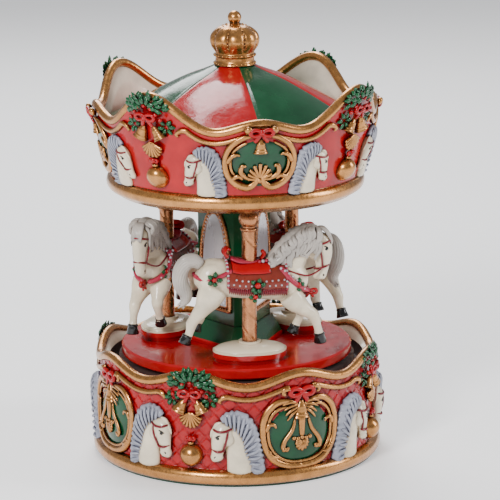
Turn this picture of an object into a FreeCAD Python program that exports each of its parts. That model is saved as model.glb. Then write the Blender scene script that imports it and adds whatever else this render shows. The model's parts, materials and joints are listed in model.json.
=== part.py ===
import FreeCAD, Part
import math
import os

from FreeCAD import Vector

# Carousel music box: a round base that holds a wind-up movement, and a turning platform with
# three horses, a mirrored column and a crowned canopy. Millimetres, +Z up, origin at the centre
# of the foot. A bearing is an angle from the front (-Y) towards +X, in degrees.

# ---- base casting ----
base_radius = 52.0          # decorated wall, outside
base_wall = 5.5             # thickness of the decorated wall
foot_height = 0.8           # felt ring under the casting
foot_width = 4.5            # the felt ring lies this far in from the wall
base_band_height = 5.0      # rolled band at the foot
base_band_proud = 2.8       # how far the band stands out of the wall
base_rim_height = 39.2      # mean height of the middle of the rim's wave
base_rim_wave = 2.1         # rise and fall of the rim
ceiling_height = 34.8       # underside of the deck over the movement
ceiling_thickness = 2.1
well_wall = 3.7             # wall round the well that the platform turns in
well_lip_drop = 0.6         # how far below the rim's lowest point the well starts to flare
groove_width = 3.7          # gutter round the deck, between it and the well's wall
groove_depth = 5.4
rim_lip = 1.8               # the walls rise this far above the middle of their waves

# ---- decoration ----
bay_count = 4               # medallions round the base and round the canopy
relief_depth = 2.4          # how far the raised ornaments stand out of a wall
ball_ornament_radius = 4.3

# ---- platform and pedestals ----
platform_clearance = 1.0    # the platform is this much smaller than the deck
platform_gap = 0.9          # between the deck and the platform
platform_thickness = 4.0
pedestal_length = 27.6      # along the way the horse faces
pedestal_width = 19.0
pedestal_height = 3.9
pedestal_step = 0.7         # the lower tier is this much smaller
pedestal_tier = 1.3         # height of the lower tier
mound_height = 3.0

# ---- horses and poles ----
horse_count = 3
horse_circle = 28.0         # distance of the poles from the middle
pole_radius = 2.8
pole_ball_radius = 3.8
horse_lift = 23.3           # from the mound to the middle of a horse's body
hoof_radius = 2.1
pole_clearance = 5.6        # from the middle of a pole's ball up to the canopy
pole_socket_depth = 5.6     # how deep the pole stands in its pedestal
glue_gap = 0.05             # all round a pole in its socket or in the horse

# ---- column ----
column_corner = 14.0        # from the middle to each chamfered corner
column_chamfer = 6.6        # width of a chamfered corner
plinth_gap = 0.2            # between the plinth's corners and the pedestals
plinth_chamfer = 11.5
plinth_height = 8.4
column_height = 62.2        # from the platform to the canopy's disc
column_wall = 2.4
column_cap = 8.0            # solid top that the canopy is screwed to
mirror_width = 13.2
mirror_margin = 12.1        # from a mirror's top to the column's top
mirror_lift = 15.5          # from the platform to a mirror's lower edge
mirror_thickness = 0.8
frame_width = 2.2
frame_thickness = 1.5

# ---- canopy ----
canopy_low_radius = 46.6    # decorated wall just above its band
canopy_high_radius = 53.4   # decorated wall at the rim
canopy_wall = 3.1
canopy_drop = 3.6           # how far the canopy hangs below its disc
canopy_band_height = 6.8
canopy_band_proud = 1.8
canopy_rim_rise = 34.9      # from the canopy's bottom to the middle of the rim's wave
canopy_rim_peaks = 4.5      # one peak a bay
canopy_rim_ripple = 3.5     # twice as many, between the peaks
canopy_disc_thickness = 2.5
roof_lift = 27.4            # from the canopy's bottom to the roof's edge
roof_rise = 19.6            # from the roof's edge to its top
roof_top_radius = 7.4
roof_thickness = 2.4
roof_bend = 0.62            # height of the middle of the slope, in shares of the rise
fit_gap = 0.15              # all round the parts glued inside the canopy

# ---- crown ----
crown_band_radius = 7.4
crown_band_height = 4.3
crown_bulb_radius = 9.2
crown_bulb_height = 10.6
crown_ball_radius = 2.9

# ---- where the carousel stands at rest ----
carousel_turn = -16.5

# ---- movement ----
cover_height = 8.0          # underside of the bottom cover
cover_thickness = 2.0
cover_gap = 0.2
plate_height = 11.5         # underside of the bedplate
plate_thickness = 1.5
crown_module = 0.6          # the barrel's face teeth and the pinion that they drive
crown_teeth = 40
pinion_teeth = 12
crown_addendum = 0.65       # in modules, low because the pinion has few teeth
pinion_addendum = 0.8
crown_face = 2.2            # length of the face teeth
tooth_play = 0.16           # taken off the thickness of each tooth
root_play = 0.15            # between a tip and the root that it runs over
crown_pitch_height = 21.7
barrel_gap = 0.9            # between the bedplate and the barrel
barrel_wall = 1.0
arbor_radius = 1.95
key_stem_radius = 1.5
arbor_hub_radius = 3.0
running_gap = 0.06
shaft_radius = 2.0
cylinder_radius = 5.5
cylinder_length = 17.0
cylinder_start = 14.6       # from the middle of the base
cylinder_wall = 0.6
pin_height = 0.4
pin_radius = 0.16
tune_pins = 5               # pins for each tooth of the comb
comb_teeth = 18
comb_clearance = 0.32       # from the pins to the tips of the comb
comb_thickness = 0.6
comb_depth = 15.0
train_module = 0.5
wheel_teeth = 32            # wheel on the music cylinder
idler_teeth = 10
worm_wheel_teeth = 20
worm_radius = 1.6
worm_length = 7.0
gear_face = 1.2
pivot_radius = 0.8
bracket_gap = 0.6           # from the governor's bracket to the housing
train_gap = 1.4             # between gears side by side on one arbor
fan_radius = 4.2
fan_height = 4.4
key_bottom = 1.7
key_top = 7.4
key_span = 19.0
click_wire = 0.3            # radius of the wire of the arbor's one-way spring
click_anchor = 4.7          # from the arbor to the post that holds that spring
anchor_radius = 0.9
plate_posts = [(-14.0, 19.0), (-14.0, -19.0), (36.0, 17.0)]

# ---- sizes that follow from those above ----
deck_height = ceiling_height + ceiling_thickness
platform_bottom = deck_height + platform_gap
platform_top = platform_bottom + platform_thickness
pedestal_top = platform_top + pedestal_height
mound_top = pedestal_top + mound_height
horse_back = mound_top + horse_lift
plinth_top = platform_top + plinth_height
plinth_corner = horse_circle - pedestal_width / 2 - plinth_gap
housing_radius = base_radius - base_wall          # inside of the base
foot_inner_radius = base_radius - foot_width
well_radius = base_radius - well_wall
groove_radius = well_radius - groove_width
platform_radius = groove_radius - platform_clearance
groove_floor = deck_height - groove_depth
gutter_inside = groove_radius - ceiling_thickness
band_radius = base_radius + base_band_proud
column_top = platform_top + column_height
mirror_foot = platform_top + mirror_lift
mirror_height = column_top - mirror_margin - mirror_foot
canopy_bottom = column_top - canopy_drop
ball_height = canopy_bottom - pole_clearance
canopy_band_top = canopy_bottom + canopy_band_height
canopy_rim_height = canopy_bottom + canopy_rim_rise
roof_edge_height = canopy_bottom + roof_lift
roof_top_height = roof_edge_height + roof_rise
disc_bottom = column_top
disc_top = disc_bottom + canopy_disc_thickness
plate_top = plate_height + plate_thickness
bay_angle = 360.0 / bay_count
horse_angle = 360.0 / horse_count
crown_pitch_radius = crown_module * crown_teeth / 2
pinion_pitch_radius = crown_module * pinion_teeth / 2
cylinder_height = crown_pitch_height + pinion_pitch_radius
barrel_radius = crown_pitch_radius + crown_face / 2
barrel_bottom = plate_top + barrel_gap
barrel_top = crown_pitch_height - crown_module * pinion_addendum - root_play
wheel_radius = train_module * wheel_teeth / 2
idler_radius = train_module * idler_teeth / 2
worm_wheel_radius = train_module * worm_wheel_teeth / 2
worm_pitch = math.pi * train_module
cylinder_end = cylinder_start + cylinder_length
wheel_place = cylinder_end + train_gap
worm_wheel_place = wheel_place + gear_face + train_gap
idler_y = -(wheel_radius + idler_radius)
worm_x = worm_wheel_place + gear_face / 2
worm_y = idler_y - worm_wheel_radius - worm_radius
bracket_place = worm_wheel_place + gear_face + train_gap
bracket_top = cylinder_height + worm_wheel_radius + train_module + 0.4
up = Vector(0, 0, 1)
origin = Vector(0, 0, 0)


# ---- helpers ----
def cylinder(radius, low, high, x=0.0, y=0.0):
    """Upright cylinder between two heights."""
    return Part.makeCylinder(radius, high - low, Vector(x, y, low))


def ring(outer, inner, low, high, x=0.0, y=0.0):
    """Upright tube between two heights."""
    return cylinder(outer, low, high, x, y).cut(cylinder(inner, low - 1, high + 1, x, y))


def box(low, high):
    """Block between two corners."""
    size = Vector(*high).sub(Vector(*low))
    return Part.makeBox(size.x, size.y, size.z, Vector(*low))


def turned(shape, bearing):
    """Copy of a shape made at the front, turned to a bearing."""
    copy = shape.copy()
    copy.rotate(origin, up, bearing)
    return copy


def place_at(bearing, distance, height=0.0):
    """Point at a bearing from the front."""
    a = math.radians(bearing)
    return Vector(distance * math.sin(a), -distance * math.cos(a), height)


def revolved(points):
    """Solid of revolution about Z from a closed outline of (radius, height) points. A point with
    a third value bulges the stretch before it into an arc through that (radius, height)."""
    edges = []
    for before, after in zip(points, points[1:] + points[:1]):
        start = Vector(before[0], 0, before[1])
        end = Vector(after[0], 0, after[1])
        if len(after) > 2:
            middle = Vector(after[2][0], 0, after[2][1])
            edges.append(Part.Arc(start, middle, end).toShape())
        else:
            edges.append(Part.makeLine(start, end))
    return Part.Face(Part.Wire(edges)).revolve(origin, up, 360)


def fused(shapes):
    """All shapes joined into one solid."""
    whole = shapes[0].multiFuse(shapes[1:]) if len(shapes) > 1 else shapes[0]
    return whole.removeSplitter()


def save(name, *solids):
    """Writes one sub-part as parts/NAME.step."""
    loose = [s for solid in solids for s in solid.Solids]
    shape = loose[0] if len(loose) == 1 else Part.makeCompound(loose)
    if not shape.isValid():
        print("not valid:", name)
    shape.exportStep(os.path.join("parts", name + ".step"))


def rest(shape):
    """A piece of the carousel, turned to where the carousel stands at rest."""
    return turned(shape, carousel_turn)


# ---- waved rims ----
def base_wave(bearing):
    """Height of the base's rim: a rise over each medallion and each garland."""
    return base_rim_height + base_rim_wave * math.cos(math.radians(2 * bay_count * bearing))


def canopy_wave(bearing):
    """Height of the canopy's rim: high over the garlands, low beside them."""
    a = math.radians(bay_count * bearing)
    return canopy_rim_height - canopy_rim_peaks * math.cos(a) + canopy_rim_ripple * math.cos(2 * a)


def wave_edge(radius, height):
    """Closed smooth curve on a cylinder, with a height that depends on the bearing."""
    steps = 16 * bay_count
    points = []
    for step in range(steps):
        bearing = 90 + 360.0 * step / steps
        points.append(place_at(bearing, radius, height(bearing)))
    curve = Part.BSplineCurve()
    curve.interpolate(Points=points, PeriodicFlag=True)
    return curve.toShape()


def above_wave(inner, outer, height, top):
    """Everything above a wave's lip, between two radii, for trimming a wall."""
    low_in = wave_edge(inner, lambda bearing: height(bearing) + rim_lip)
    low_out = wave_edge(outer, lambda bearing: height(bearing) + rim_lip)
    top_in = wave_edge(inner, lambda bearing: top)
    top_out = wave_edge(outer, lambda bearing: top)
    faces = [
        Part.makeRuledSurface(low_in, low_out),
        Part.makeRuledSurface(low_out, top_out),
        Part.makeRuledSurface(top_out, top_in),
        Part.makeRuledSurface(top_in, low_in),
    ]
    shell = Part.makeShell(faces)
    shell.sewShape()
    solid = Part.Solid(shell)
    if solid.Volume < 0:
        solid.reverse()
    return solid


# ---- raised ornaments ----
def oval_boss(wall_radius, width, height, middle, bearing, depth=relief_depth):
    """Oval that stands out of a round wall, with a face that follows the wall."""
    reach = wall_radius + depth + 6
    oval = Part.Ellipse(origin, max(width, height) / 2, min(width, height) / 2).toShape()
    if height > width:
        oval.rotate(origin, up, 90)
    prism = Part.Face(Part.Wire(oval)).extrude(Vector(0, 0, reach))
    prism.rotate(origin, Vector(1, 0, 0), 90)
    prism.translate(Vector(0, 0, middle))
    low = middle - height
    high = middle + height
    shell = ring(wall_radius + depth, wall_radius - 1.2, low, high)
    return turned(prism.common(shell), bearing)


def ball_boss(wall_radius, middle, bearing):
    """Round ornament, half sunk in a wall."""
    return Part.makeSphere(ball_ornament_radius, place_at(bearing, wall_radius - 0.5, middle))


def bay_ornaments(radius_at, medallion, horse, garland, shell, ball):
    """The raised ornaments of all bays. Each is (width, height, middle height); the heads beside
    a medallion come in pairs."""
    found = []
    for bay in range(bay_count):
        centre = bay * bay_angle
        side = centre + bay_angle / 2
        found.append(oval_boss(radius_at(medallion[2]), *medallion, centre))
        for way in (-1, 1):
            found.append(oval_boss(radius_at(horse[2]), *horse, centre + way * 0.29 * bay_angle))
        found.append(oval_boss(radius_at(garland[2]), *garland, side, relief_depth + 0.8))
        found.append(oval_boss(radius_at(shell[2]), *shell, side))
        found.append(ball_boss(radius_at(ball), ball, side))
    return found


# ---- base ----
def base_housing():
    """Cast drum with a deck over the movement, a well for the platform and a waved rim."""
    top = base_rim_height + base_rim_wave + rim_lip + 1
    flare = base_rim_height - base_rim_wave - well_lip_drop
    band_top = foot_height + base_band_height
    body = revolved([
        (housing_radius, foot_height),
        (band_radius - 1.6, foot_height),
        (band_radius - 1.6, band_top, (band_radius, (foot_height + band_top) / 2)),
        (base_radius, band_top + 0.6),
        (base_radius, top),
        (base_radius - 2.6, top),
        (well_radius, flare),
        (well_radius, groove_floor),
        (groove_radius, groove_floor),
        (groove_radius, deck_height),
        (shaft_radius + 1.6, deck_height),
        (shaft_radius + 1.6, ceiling_height),
        (gutter_inside, ceiling_height),
        (gutter_inside, groove_floor - ceiling_thickness),
        (housing_radius, groove_floor - ceiling_thickness),
    ])
    body = body.cut(above_wave(well_radius - 2, band_radius + 2, base_wave, top + 4))
    pieces = [body]
    pieces += bay_ornaments(
        lambda height: base_radius,
        (30.0, 26.0, 20.2), (12.0, 22.0, 18.4), (16.0, 9.0, 33.0), (8.0, 7.0, 23.5), 12.0,
    )
    pieces += [cylinder(2.8, plate_top, ceiling_height + 1, x, y) for x, y in plate_posts]
    for x, y in cover_posts():
        pieces.append(cylinder(2.6, cover_height + cover_thickness, groove_floor - 1, x, y))
    whole = fused(pieces)
    for x, y in plate_posts:
        whole = whole.cut(cylinder(0.8, plate_top - 1, plate_top + 9, x, y))
    for x, y in cover_posts():
        whole = whole.cut(cylinder(0.8, cover_height, cover_height + 9, x, y))
    return whole


def cover_posts():
    """Four posts just inside the wall, between the medallions."""
    reach = housing_radius - 2.4
    points = [place_at(45 + 90 * k, reach) for k in range(4)]
    return [(p.x, p.y) for p in points]


def pan_screw(head, shank, length, x, y, seat, way=1):
    """Round-headed screw with a slot. The head stands below its seat when way is 1."""
    thick = 1.1
    low, high = (seat - thick, seat) if way > 0 else (seat, seat + thick)
    body = cylinder(head, low, high, x, y)
    tip = seat + way * length
    body = body.fuse(cylinder(shank, min(seat, tip), max(seat, tip), x, y))
    face = low if way > 0 else high
    slot = box((x - head - 1, y - 0.25, face - 0.45), (x + head + 1, y + 0.25, face + 0.45))
    return body.cut(slot)


def bottom_cover():
    """Fibre disc that closes the base, with a hole for the key."""
    disc = ring(housing_radius - cover_gap, 6.0, cover_height, cover_height + cover_thickness)
    for x, y in cover_posts():
        disc = disc.cut(cylinder(0.9, cover_height - 1, cover_height + 4, x, y))
    return disc


# ---- movement: fixed pieces ----
def bedplate():
    """Plate that carries the movement, with the bearing of the winding arbor."""
    plate = box((-18, -23, plate_height), (41, 23, plate_top))
    plate = plate.common(cylinder(housing_radius - 0.8, plate_height - 1, plate_top + 1))
    post_low = plate_height - 3.2
    plate = plate.fuse(cylinder(anchor_radius, post_low, plate_height + 0.2, click_anchor))
    plate = plate.cut(cylinder(arbor_radius + running_gap, plate_height - 1, plate_top + 1))
    for x, y in plate_posts:
        plate = plate.cut(cylinder(0.9, plate_height - 1, plate_top + 1, x, y))
    foot = cylinder(pivot_radius + running_gap, plate_top - 1.0, plate_top + 1, worm_x, worm_y)
    return plate.cut(foot).removeSplitter()


def click_spring():
    """Coil that grips the arbor one way, so that the spring can't unwind the key."""
    coil = arbor_radius + running_gap + click_wire
    pitch = 0.66
    turns = 4
    low = plate_height - click_wire - 0.1 - pitch * turns
    helix = Part.makeHelix(pitch, pitch * turns, coil)
    helix.translate(Vector(0, 0, low))
    section = Part.Wire(Part.makeCircle(click_wire, Vector(coil, 0, low), Vector(0, 1, 0)))
    wound = Part.Wire(helix.Edges).makePipeShell([section], True, True)
    reach = click_anchor - anchor_radius - coil
    arm = Part.makeCylinder(click_wire * 0.96, reach, Vector(coil, 0, low), Vector(1, 0, 0))
    return wound.fuse(arm)


def arch_lug(width, low, high, x, thick, y=0.0):
    """Upright plate across X with a round top, for a bearing."""
    half = width / 2
    plate = box((x, y - half, low), (x + thick, y + half, high))
    crest = Part.makeCylinder(half, thick, Vector(x, y, high), Vector(1, 0, 0))
    return plate.fuse(crest)


def along_x(radius, start, end, y, z):
    """Level cylinder along X."""
    return Part.makeCylinder(radius, end - start, Vector(start, y, z), Vector(1, 0, 0))


def barrel_bridge():
    """Bridge over the barrel: it steadies the drive shaft and one end of the cylinder."""
    low = cylinder_height + pinion_pitch_radius - 0.6
    high = low + 1.4
    leg = barrel_radius + 2.2
    span = box((-5, -leg - 4, low), (5, leg + 4, high))
    legs = [box((-4, way * leg - 1.6 * (way < 0), plate_top),
                (4, way * leg + 1.6 * (way > 0), low + 0.2)) for way in (-1, 1)]
    feet = [box((-4, min(way * leg, way * (leg + 4.6)), plate_top),
                (4, max(way * leg, way * (leg + 4.6)), plate_top + 1.2)) for way in (-1, 1)]
    lug_start = crown_pitch_radius - crown_face / 2 - 2.3
    arm = box((0, -3, low), (lug_start + 1.2, 3, high))
    lug = box((lug_start, -2.4, cylinder_height - 2.2), (lug_start + 1.2, 2.4, low + 0.2))
    whole = fused([span, arm, lug] + legs + feet)
    whole = whole.cut(cylinder(shaft_radius + running_gap, low - 1, high + 1))
    pivot = pivot_radius + running_gap
    whole = whole.cut(along_x(pivot, lug_start - 1, lug_start + 2.2, 0, cylinder_height))
    for way in (-1, 1):
        whole = whole.cut(cylinder(0.7, plate_top - 1, plate_top + 2, 0, way * (leg + 3.1)))
    return whole


def bridge_screws():
    """The two screws that hold the bridge's feet."""
    leg = barrel_radius + 2.2
    return [pan_screw(1.4, 0.65, 1.15, 0, way * (leg + 3.1), plate_top + 1.2, -1)
            for way in (-1, 1)]


def governor_bracket():
    """Bent bracket with the outer bearings of the cylinder, the idler and the worm."""
    thick = 1.2
    far_x = bracket_place + thick
    top = bracket_top + thick
    inner_x = cylinder_end - 1.2
    outer = box((bracket_place, idler_y - 2, plate_top), (far_x, 4, top))
    inner = arch_lug(4.0, plate_top, cylinder_height, inner_x, 1.0, idler_y)
    foot = box((inner_x, idler_y - 2, plate_top), (far_x, idler_y + 2, plate_top + 1))
    arm = box((worm_x - 2.2, worm_y - 2.4, bracket_top), (far_x, idler_y + 2, top))
    whole = fused([outer, inner, foot, arm])
    whole = whole.common(cylinder(gutter_inside - bracket_gap, plate_top - 1, top + 1))
    pivot = pivot_radius + running_gap
    whole = whole.cut(along_x(pivot, bracket_place - 1, bracket_place + 3, 0, cylinder_height))
    whole = whole.cut(along_x(pivot, inner_x - 1, bracket_place + 3, idler_y, cylinder_height))
    return whole.cut(cylinder(pivot, bracket_top - 1, top + 1, worm_x, worm_y))


def comb():
    """Steel comb: a heel on a raised foot, and one tooth for each note."""
    pitch = cylinder_length / comb_teeth
    tip = cylinder_radius + pin_height + comb_clearance
    heel = tip + comb_depth * 0.55
    slant = comb_depth * 0.16
    low = cylinder_height - comb_thickness / 2
    high = low + comb_thickness
    pieces = [box((cylinder_start, heel, low), (cylinder_end, tip + comb_depth, high))]
    for note in range(comb_teeth):
        x = cylinder_start + pitch * (note + 0.5)
        slot_end = heel - 0.2 - slant * note / comb_teeth
        pieces.append(box((x - 0.3, tip, low), (x + 0.3, heel + 0.5, high)))
        pieces.append(box((x - pitch / 2, slot_end, low), (x + pitch / 2, heel + 0.5, high)))
    foot = box((cylinder_start, heel + 1.5, plate_top), (cylinder_end, tip + comb_depth, low))
    whole = fused(pieces + [foot])
    for x, y in comb_screw_places():
        whole = whole.cut(cylinder(0.9, low - 5, high + 1, x, y))
    return whole


def comb_screw_places():
    """Where the comb is screwed down."""
    y = cylinder_radius + pin_height + comb_clearance + comb_depth - 3.0
    return [(cylinder_start + share * cylinder_length, y) for share in (0.22, 0.78)]


# ---- movement: gears ----
def gear_outline(teeth, module, addendum, dedendum, flank_points=4):
    """Points of a spur gear's outline in the XY plane, with a tooth centred on +X. The flanks are
    involutes of a 20 degree rack, down to the base circle, then straight to the root."""
    pressure = math.radians(20)
    pitch_radius = teeth * module / 2
    base_circle = pitch_radius * math.cos(pressure)
    tip = pitch_radius + addendum
    root = pitch_radius - dedendum
    half = (math.pi * module / 2 - tooth_play) / (2 * pitch_radius)
    spread = math.tan(pressure) - pressure

    def half_angle(radius):
        if radius <= base_circle:
            return half + spread
        roll = math.acos(base_circle / radius)
        return half + spread - (math.tan(roll) - roll)

    start = max(root, base_circle)
    radii = [start + (tip - start) * k / (flank_points - 1) for k in range(flank_points)]
    if root < base_circle:
        radii = [root] + radii
    points = []
    for tooth in range(teeth):
        centre = 2 * math.pi * tooth / teeth
        for radius in radii:
            points.append((radius, centre - half_angle(radius)))
        for radius in reversed(radii):
            points.append((radius, centre + half_angle(radius)))
    return [Vector(r * math.cos(a), r * math.sin(a), 0) for r, a in points]


def spur_gear(teeth, module, addendum, dedendum, face, first_tooth=0.0):
    """Spur gear along +X from the origin, with a tooth at an angle from straight down."""
    points = gear_outline(teeth, module, addendum, dedendum)
    gear = Part.Face(Part.makePolygon(points + points[:1])).extrude(Vector(0, 0, face))
    gear.rotate(origin, Vector(0, 1, 0), 90)
    gear.rotate(origin, Vector(1, 0, 0), first_tooth)
    return gear


def spring_barrel():
    """Drum for the mainspring with a crown of face teeth on its rim, a gap facing +X."""
    drum = cylinder(barrel_radius, barrel_bottom, barrel_top)
    cavity = cylinder(barrel_radius - barrel_wall, barrel_bottom - 1, barrel_top - 1.5)
    drum = drum.cut(cavity).cut(cylinder(1.2 + running_gap, barrel_bottom, barrel_top - 0.4))
    slope = math.tan(math.radians(20))
    half = (math.pi * crown_module / 2 - tooth_play) / 2
    low = barrel_top - crown_pitch_height
    high = crown_module * crown_addendum
    inner = crown_pitch_radius - crown_face / 2
    corners = [(-half + low * slope, low - 0.2), (half - low * slope, low - 0.2),
               (half - high * slope, high), (-half + high * slope, high)]
    points = [Vector(inner, y, crown_pitch_height + z) for y, z in corners]
    tooth = Part.Face(Part.makePolygon(points + points[:1])).extrude(Vector(crown_face + 1, 0, 0))
    keep = ring(barrel_radius, inner, barrel_top - 1, crown_pitch_height + 2)
    tooth = tooth.common(keep)
    step = 360.0 / crown_teeth
    teeth = [turned(tooth, step * (k + 0.5)) for k in range(crown_teeth)]
    return fused([drum] + teeth)


def mainspring():
    """Flat strip wound in a spiral inside the barrel."""
    turns = 8
    strip = 0.32
    inner = arbor_hub_radius + 0.6
    outer = barrel_radius - barrel_wall - strip / 2 - 0.02
    low = barrel_bottom + 1.6
    steps = turns * 12

    def side(offset):
        points = []
        for step in range(steps + 1):
            a = 2 * math.pi * turns * step / steps
            r = inner + (outer - inner) * step / steps + offset
            points.append(Vector(r * math.cos(a), r * math.sin(a), low))
        curve = Part.BSplineCurve()
        curve.interpolate(points)
        return curve.toShape()

    near = side(-strip / 2)
    far = side(strip / 2)
    ends = [Part.makeLine(near.Vertexes[k].Point, far.Vertexes[k].Point) for k in (0, 1)]
    wire = Part.Wire(Part.__sortEdges__([near, far] + ends))
    return Part.Face(wire).extrude(Vector(0, 0, barrel_top - 2.1 - low))


def winding_arbor():
    """Arbor through the bedplate: a hub for the spring's inner end, and a stem for the key."""
    hub_low = barrel_bottom + 1.35
    stem = cylinder(key_stem_radius, key_bottom + 0.6, key_top + 0.2)
    shaft = cylinder(arbor_radius, key_top, hub_low + 0.1)
    hub = cylinder(arbor_hub_radius, hub_low, barrel_top - 1.9)
    pivot = cylinder(1.2, barrel_top - 2, barrel_top - 0.75)
    return fused([stem, shaft, hub, pivot])


def winding_key():
    """Butterfly key on the arbor's stem."""
    wing_top = 6.4
    wing = box((-key_span / 2 + 2.3, -0.7, key_bottom), (key_span / 2 - 2.3, 0.7, wing_top))
    ends = []
    for way in (-1, 1):
        centre = Vector(way * (key_span / 2 - 2.35), 0.7, (key_bottom + wing_top) / 2)
        ends.append(Part.makeCylinder(2.35, 1.4, centre, Vector(0, -1, 0)))
    hub = cylinder(2.7, key_bottom, key_top)
    whole = fused([wing, hub] + ends)
    for way in (-1, 1):
        centre = Vector(way * (key_span / 2 - 2.9), 2, (key_bottom + wing_top) / 2)
        whole = whole.cut(Part.makeCylinder(1.1, 4, centre, Vector(0, -1, 0)))
    return whole.cut(cylinder(key_stem_radius, key_bottom + 0.6, key_top + 1))


def music_cylinder():
    """Hollow cylinder with the tune's pins, a few for each tooth of the comb."""
    tube = along_x(cylinder_radius, cylinder_start, cylinder_end, 0, cylinder_height)
    bore = along_x(cylinder_radius - cylinder_wall, cylinder_start + 0.8, cylinder_end - 0.8, 0,
                   cylinder_height)
    hole = along_x(pivot_radius, cylinder_start - 1, cylinder_end + 1, 0, cylinder_height)
    pins = []
    pitch = cylinder_length / comb_teeth
    for note in range(comb_teeth):
        for pin in range(tune_pins):
            angle = math.radians((note * 97 + pin * (360.0 / tune_pins) + note * pin * 11) % 360)
            outward = Vector(0, math.cos(angle), math.sin(angle))
            foot = Vector(cylinder_start + pitch * (note + 0.5), 0, cylinder_height)
            foot = foot.add(outward.multiply(cylinder_radius - 0.3))
            outward = Vector(0, math.cos(angle), math.sin(angle))
            pins.append(Part.makeCylinder(pin_radius, pin_height + 0.3, foot, outward))
    return tube.cut(bore).cut(hole).multiFuse(pins)


def cylinder_arbor():
    """Steel arbor of the cylinder, from the bridge's lug to the bracket."""
    start = crown_pitch_radius - crown_face / 2 - 2.2
    return along_x(pivot_radius, start, bracket_place + 1.1, 0, cylinder_height)


def on_arbor(gear, x, y):
    """A gear made at the origin, moved on to an arbor and bored for it."""
    gear.translate(Vector(x, y, cylinder_height))
    return gear.cut(along_x(pivot_radius, x - 3, x + 6, y, cylinder_height))


def cylinder_pinion():
    """Pinion that the barrel's face teeth drive; a tooth points straight down."""
    dedendum = crown_module * crown_addendum + root_play
    gear = spur_gear(pinion_teeth, crown_module, crown_module * pinion_addendum, dedendum,
                     crown_face - 0.2, 0)
    return on_arbor(gear, crown_pitch_radius - crown_face / 2 + 0.1, 0)


def train_gear(teeth, face, first_tooth):
    """Spur gear of the governor's train."""
    addendum = 0.8 * train_module
    return spur_gear(teeth, train_module, addendum, addendum + root_play, face, first_tooth)


def cylinder_wheel():
    """Wheel on the cylinder's arbor, with a tooth towards the idler."""
    return on_arbor(train_gear(wheel_teeth, gear_face, -90), wheel_place, 0)


def idler_pinion():
    """Idler's pinion, with a gap towards the cylinder's wheel."""
    gap = 90 + 180.0 / idler_teeth
    return on_arbor(train_gear(idler_teeth, gear_face + 0.8, gap), wheel_place - 0.4, idler_y)


def worm_wheel():
    """Wheel on the idler's arbor that drives the worm, with a gap towards it."""
    gap = -90 + 180.0 / worm_wheel_teeth
    return on_arbor(train_gear(worm_wheel_teeth, gear_face, gap), worm_wheel_place, idler_y)


def governor_worm():
    """Single-start worm on the fan's spindle, with its thread in the worm wheel's gap."""
    root = worm_radius - 0.8 * train_module - root_play
    low = cylinder_height - worm_length / 2
    spindle = cylinder(pivot_radius - 0.1, plate_top - 0.9, bracket_top + 1.1)
    core = cylinder(root, low - 0.5, cylinder_height + worm_length / 2 + 0.5)
    tip = worm_radius + 0.8 * train_module
    slope = math.tan(math.radians(20))
    half = (math.pi * train_module / 2 - 2.6 * tooth_play) / 2
    inside = root - 0.1
    corners = [(inside, -half - (worm_radius - inside) * slope),
               (tip, -half + (tip - worm_radius) * slope),
               (tip, half - (tip - worm_radius) * slope),
               (inside, half + (worm_radius - inside) * slope)]
    turns = int(worm_length / worm_pitch)
    start = cylinder_height - worm_pitch * turns / 2 - worm_pitch / 4
    helix = Part.makeHelix(worm_pitch, worm_pitch * turns, worm_radius)
    section = Part.makePolygon([Vector(r, 0, z) for r, z in corners + corners[:1]])
    thread = Part.Wire(helix.Edges).makePipeShell([section], True, True)
    thread.translate(Vector(0, 0, start))
    whole = fused([spindle, core, thread])
    whole.translate(Vector(worm_x, worm_y, 0))
    return whole


def governor_fan():
    """Two-bladed fan that brakes the train against the air."""
    low = plate_top + 1.4
    hub = ring(1.6, pivot_radius - 0.1, low, low + fan_height)
    blade = box((-fan_radius, -0.25, low), (fan_radius, 0.25, low + fan_height))
    blade = blade.cut(cylinder(1.3, low - 1, low + fan_height + 1))
    whole = hub.fuse(blade)
    whole.translate(Vector(worm_x, worm_y, 0))
    return whole


# ---- carousel ----
def platform():
    """Turning floor, on the drive shaft."""
    floor = revolved([
        (shaft_radius, platform_bottom),
        (platform_radius - 0.6, platform_bottom),
        (platform_radius, platform_bottom + 0.6),
        (platform_radius, platform_top - 0.6),
        (platform_radius - 0.6, platform_top),
        (shaft_radius, platform_top),
    ])
    for bearing, distance in floor_screw_places():
        p = place_at(bearing, distance)
        floor = floor.cut(cylinder(1.0, platform_bottom - 1, platform_top + 1, p.x, p.y))
        floor = floor.cut(cylinder(2.1, platform_bottom - 1, platform_bottom + 1.2, p.x, p.y))
    return floor


def floor_screw_places():
    """Bearings and distances of the screws up into the column and into the pedestals."""
    places = []
    for k in range(horse_count):
        places.append((k * horse_angle, column_corner - 2.4))
        places.append((k * horse_angle + 11, horse_circle + 1))
    return places


def floor_screws(of_column):
    """Screws up through the platform, of the column or of the pedestals."""
    found = []
    for k, (bearing, distance) in enumerate(floor_screw_places()):
        if (k % 2 == 0) == of_column:
            p = place_at(bearing, distance)
            length = platform_thickness - 1.1 + (5.0 if of_column else 2.2)
            found.append(pan_screw(1.9, 0.9, length, p.x, p.y, platform_bottom + 1.1))
    return found


def oval_prism(length, width, low, high):
    """Upright oval block at the front, long across the view."""
    edge = Part.Ellipse(origin, length / 2, width / 2).toShape()
    prism = Part.Face(Part.Wire(edge)).extrude(Vector(0, 0, high - low))
    prism.translate(Vector(0, -horse_circle, low))
    return prism


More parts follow.
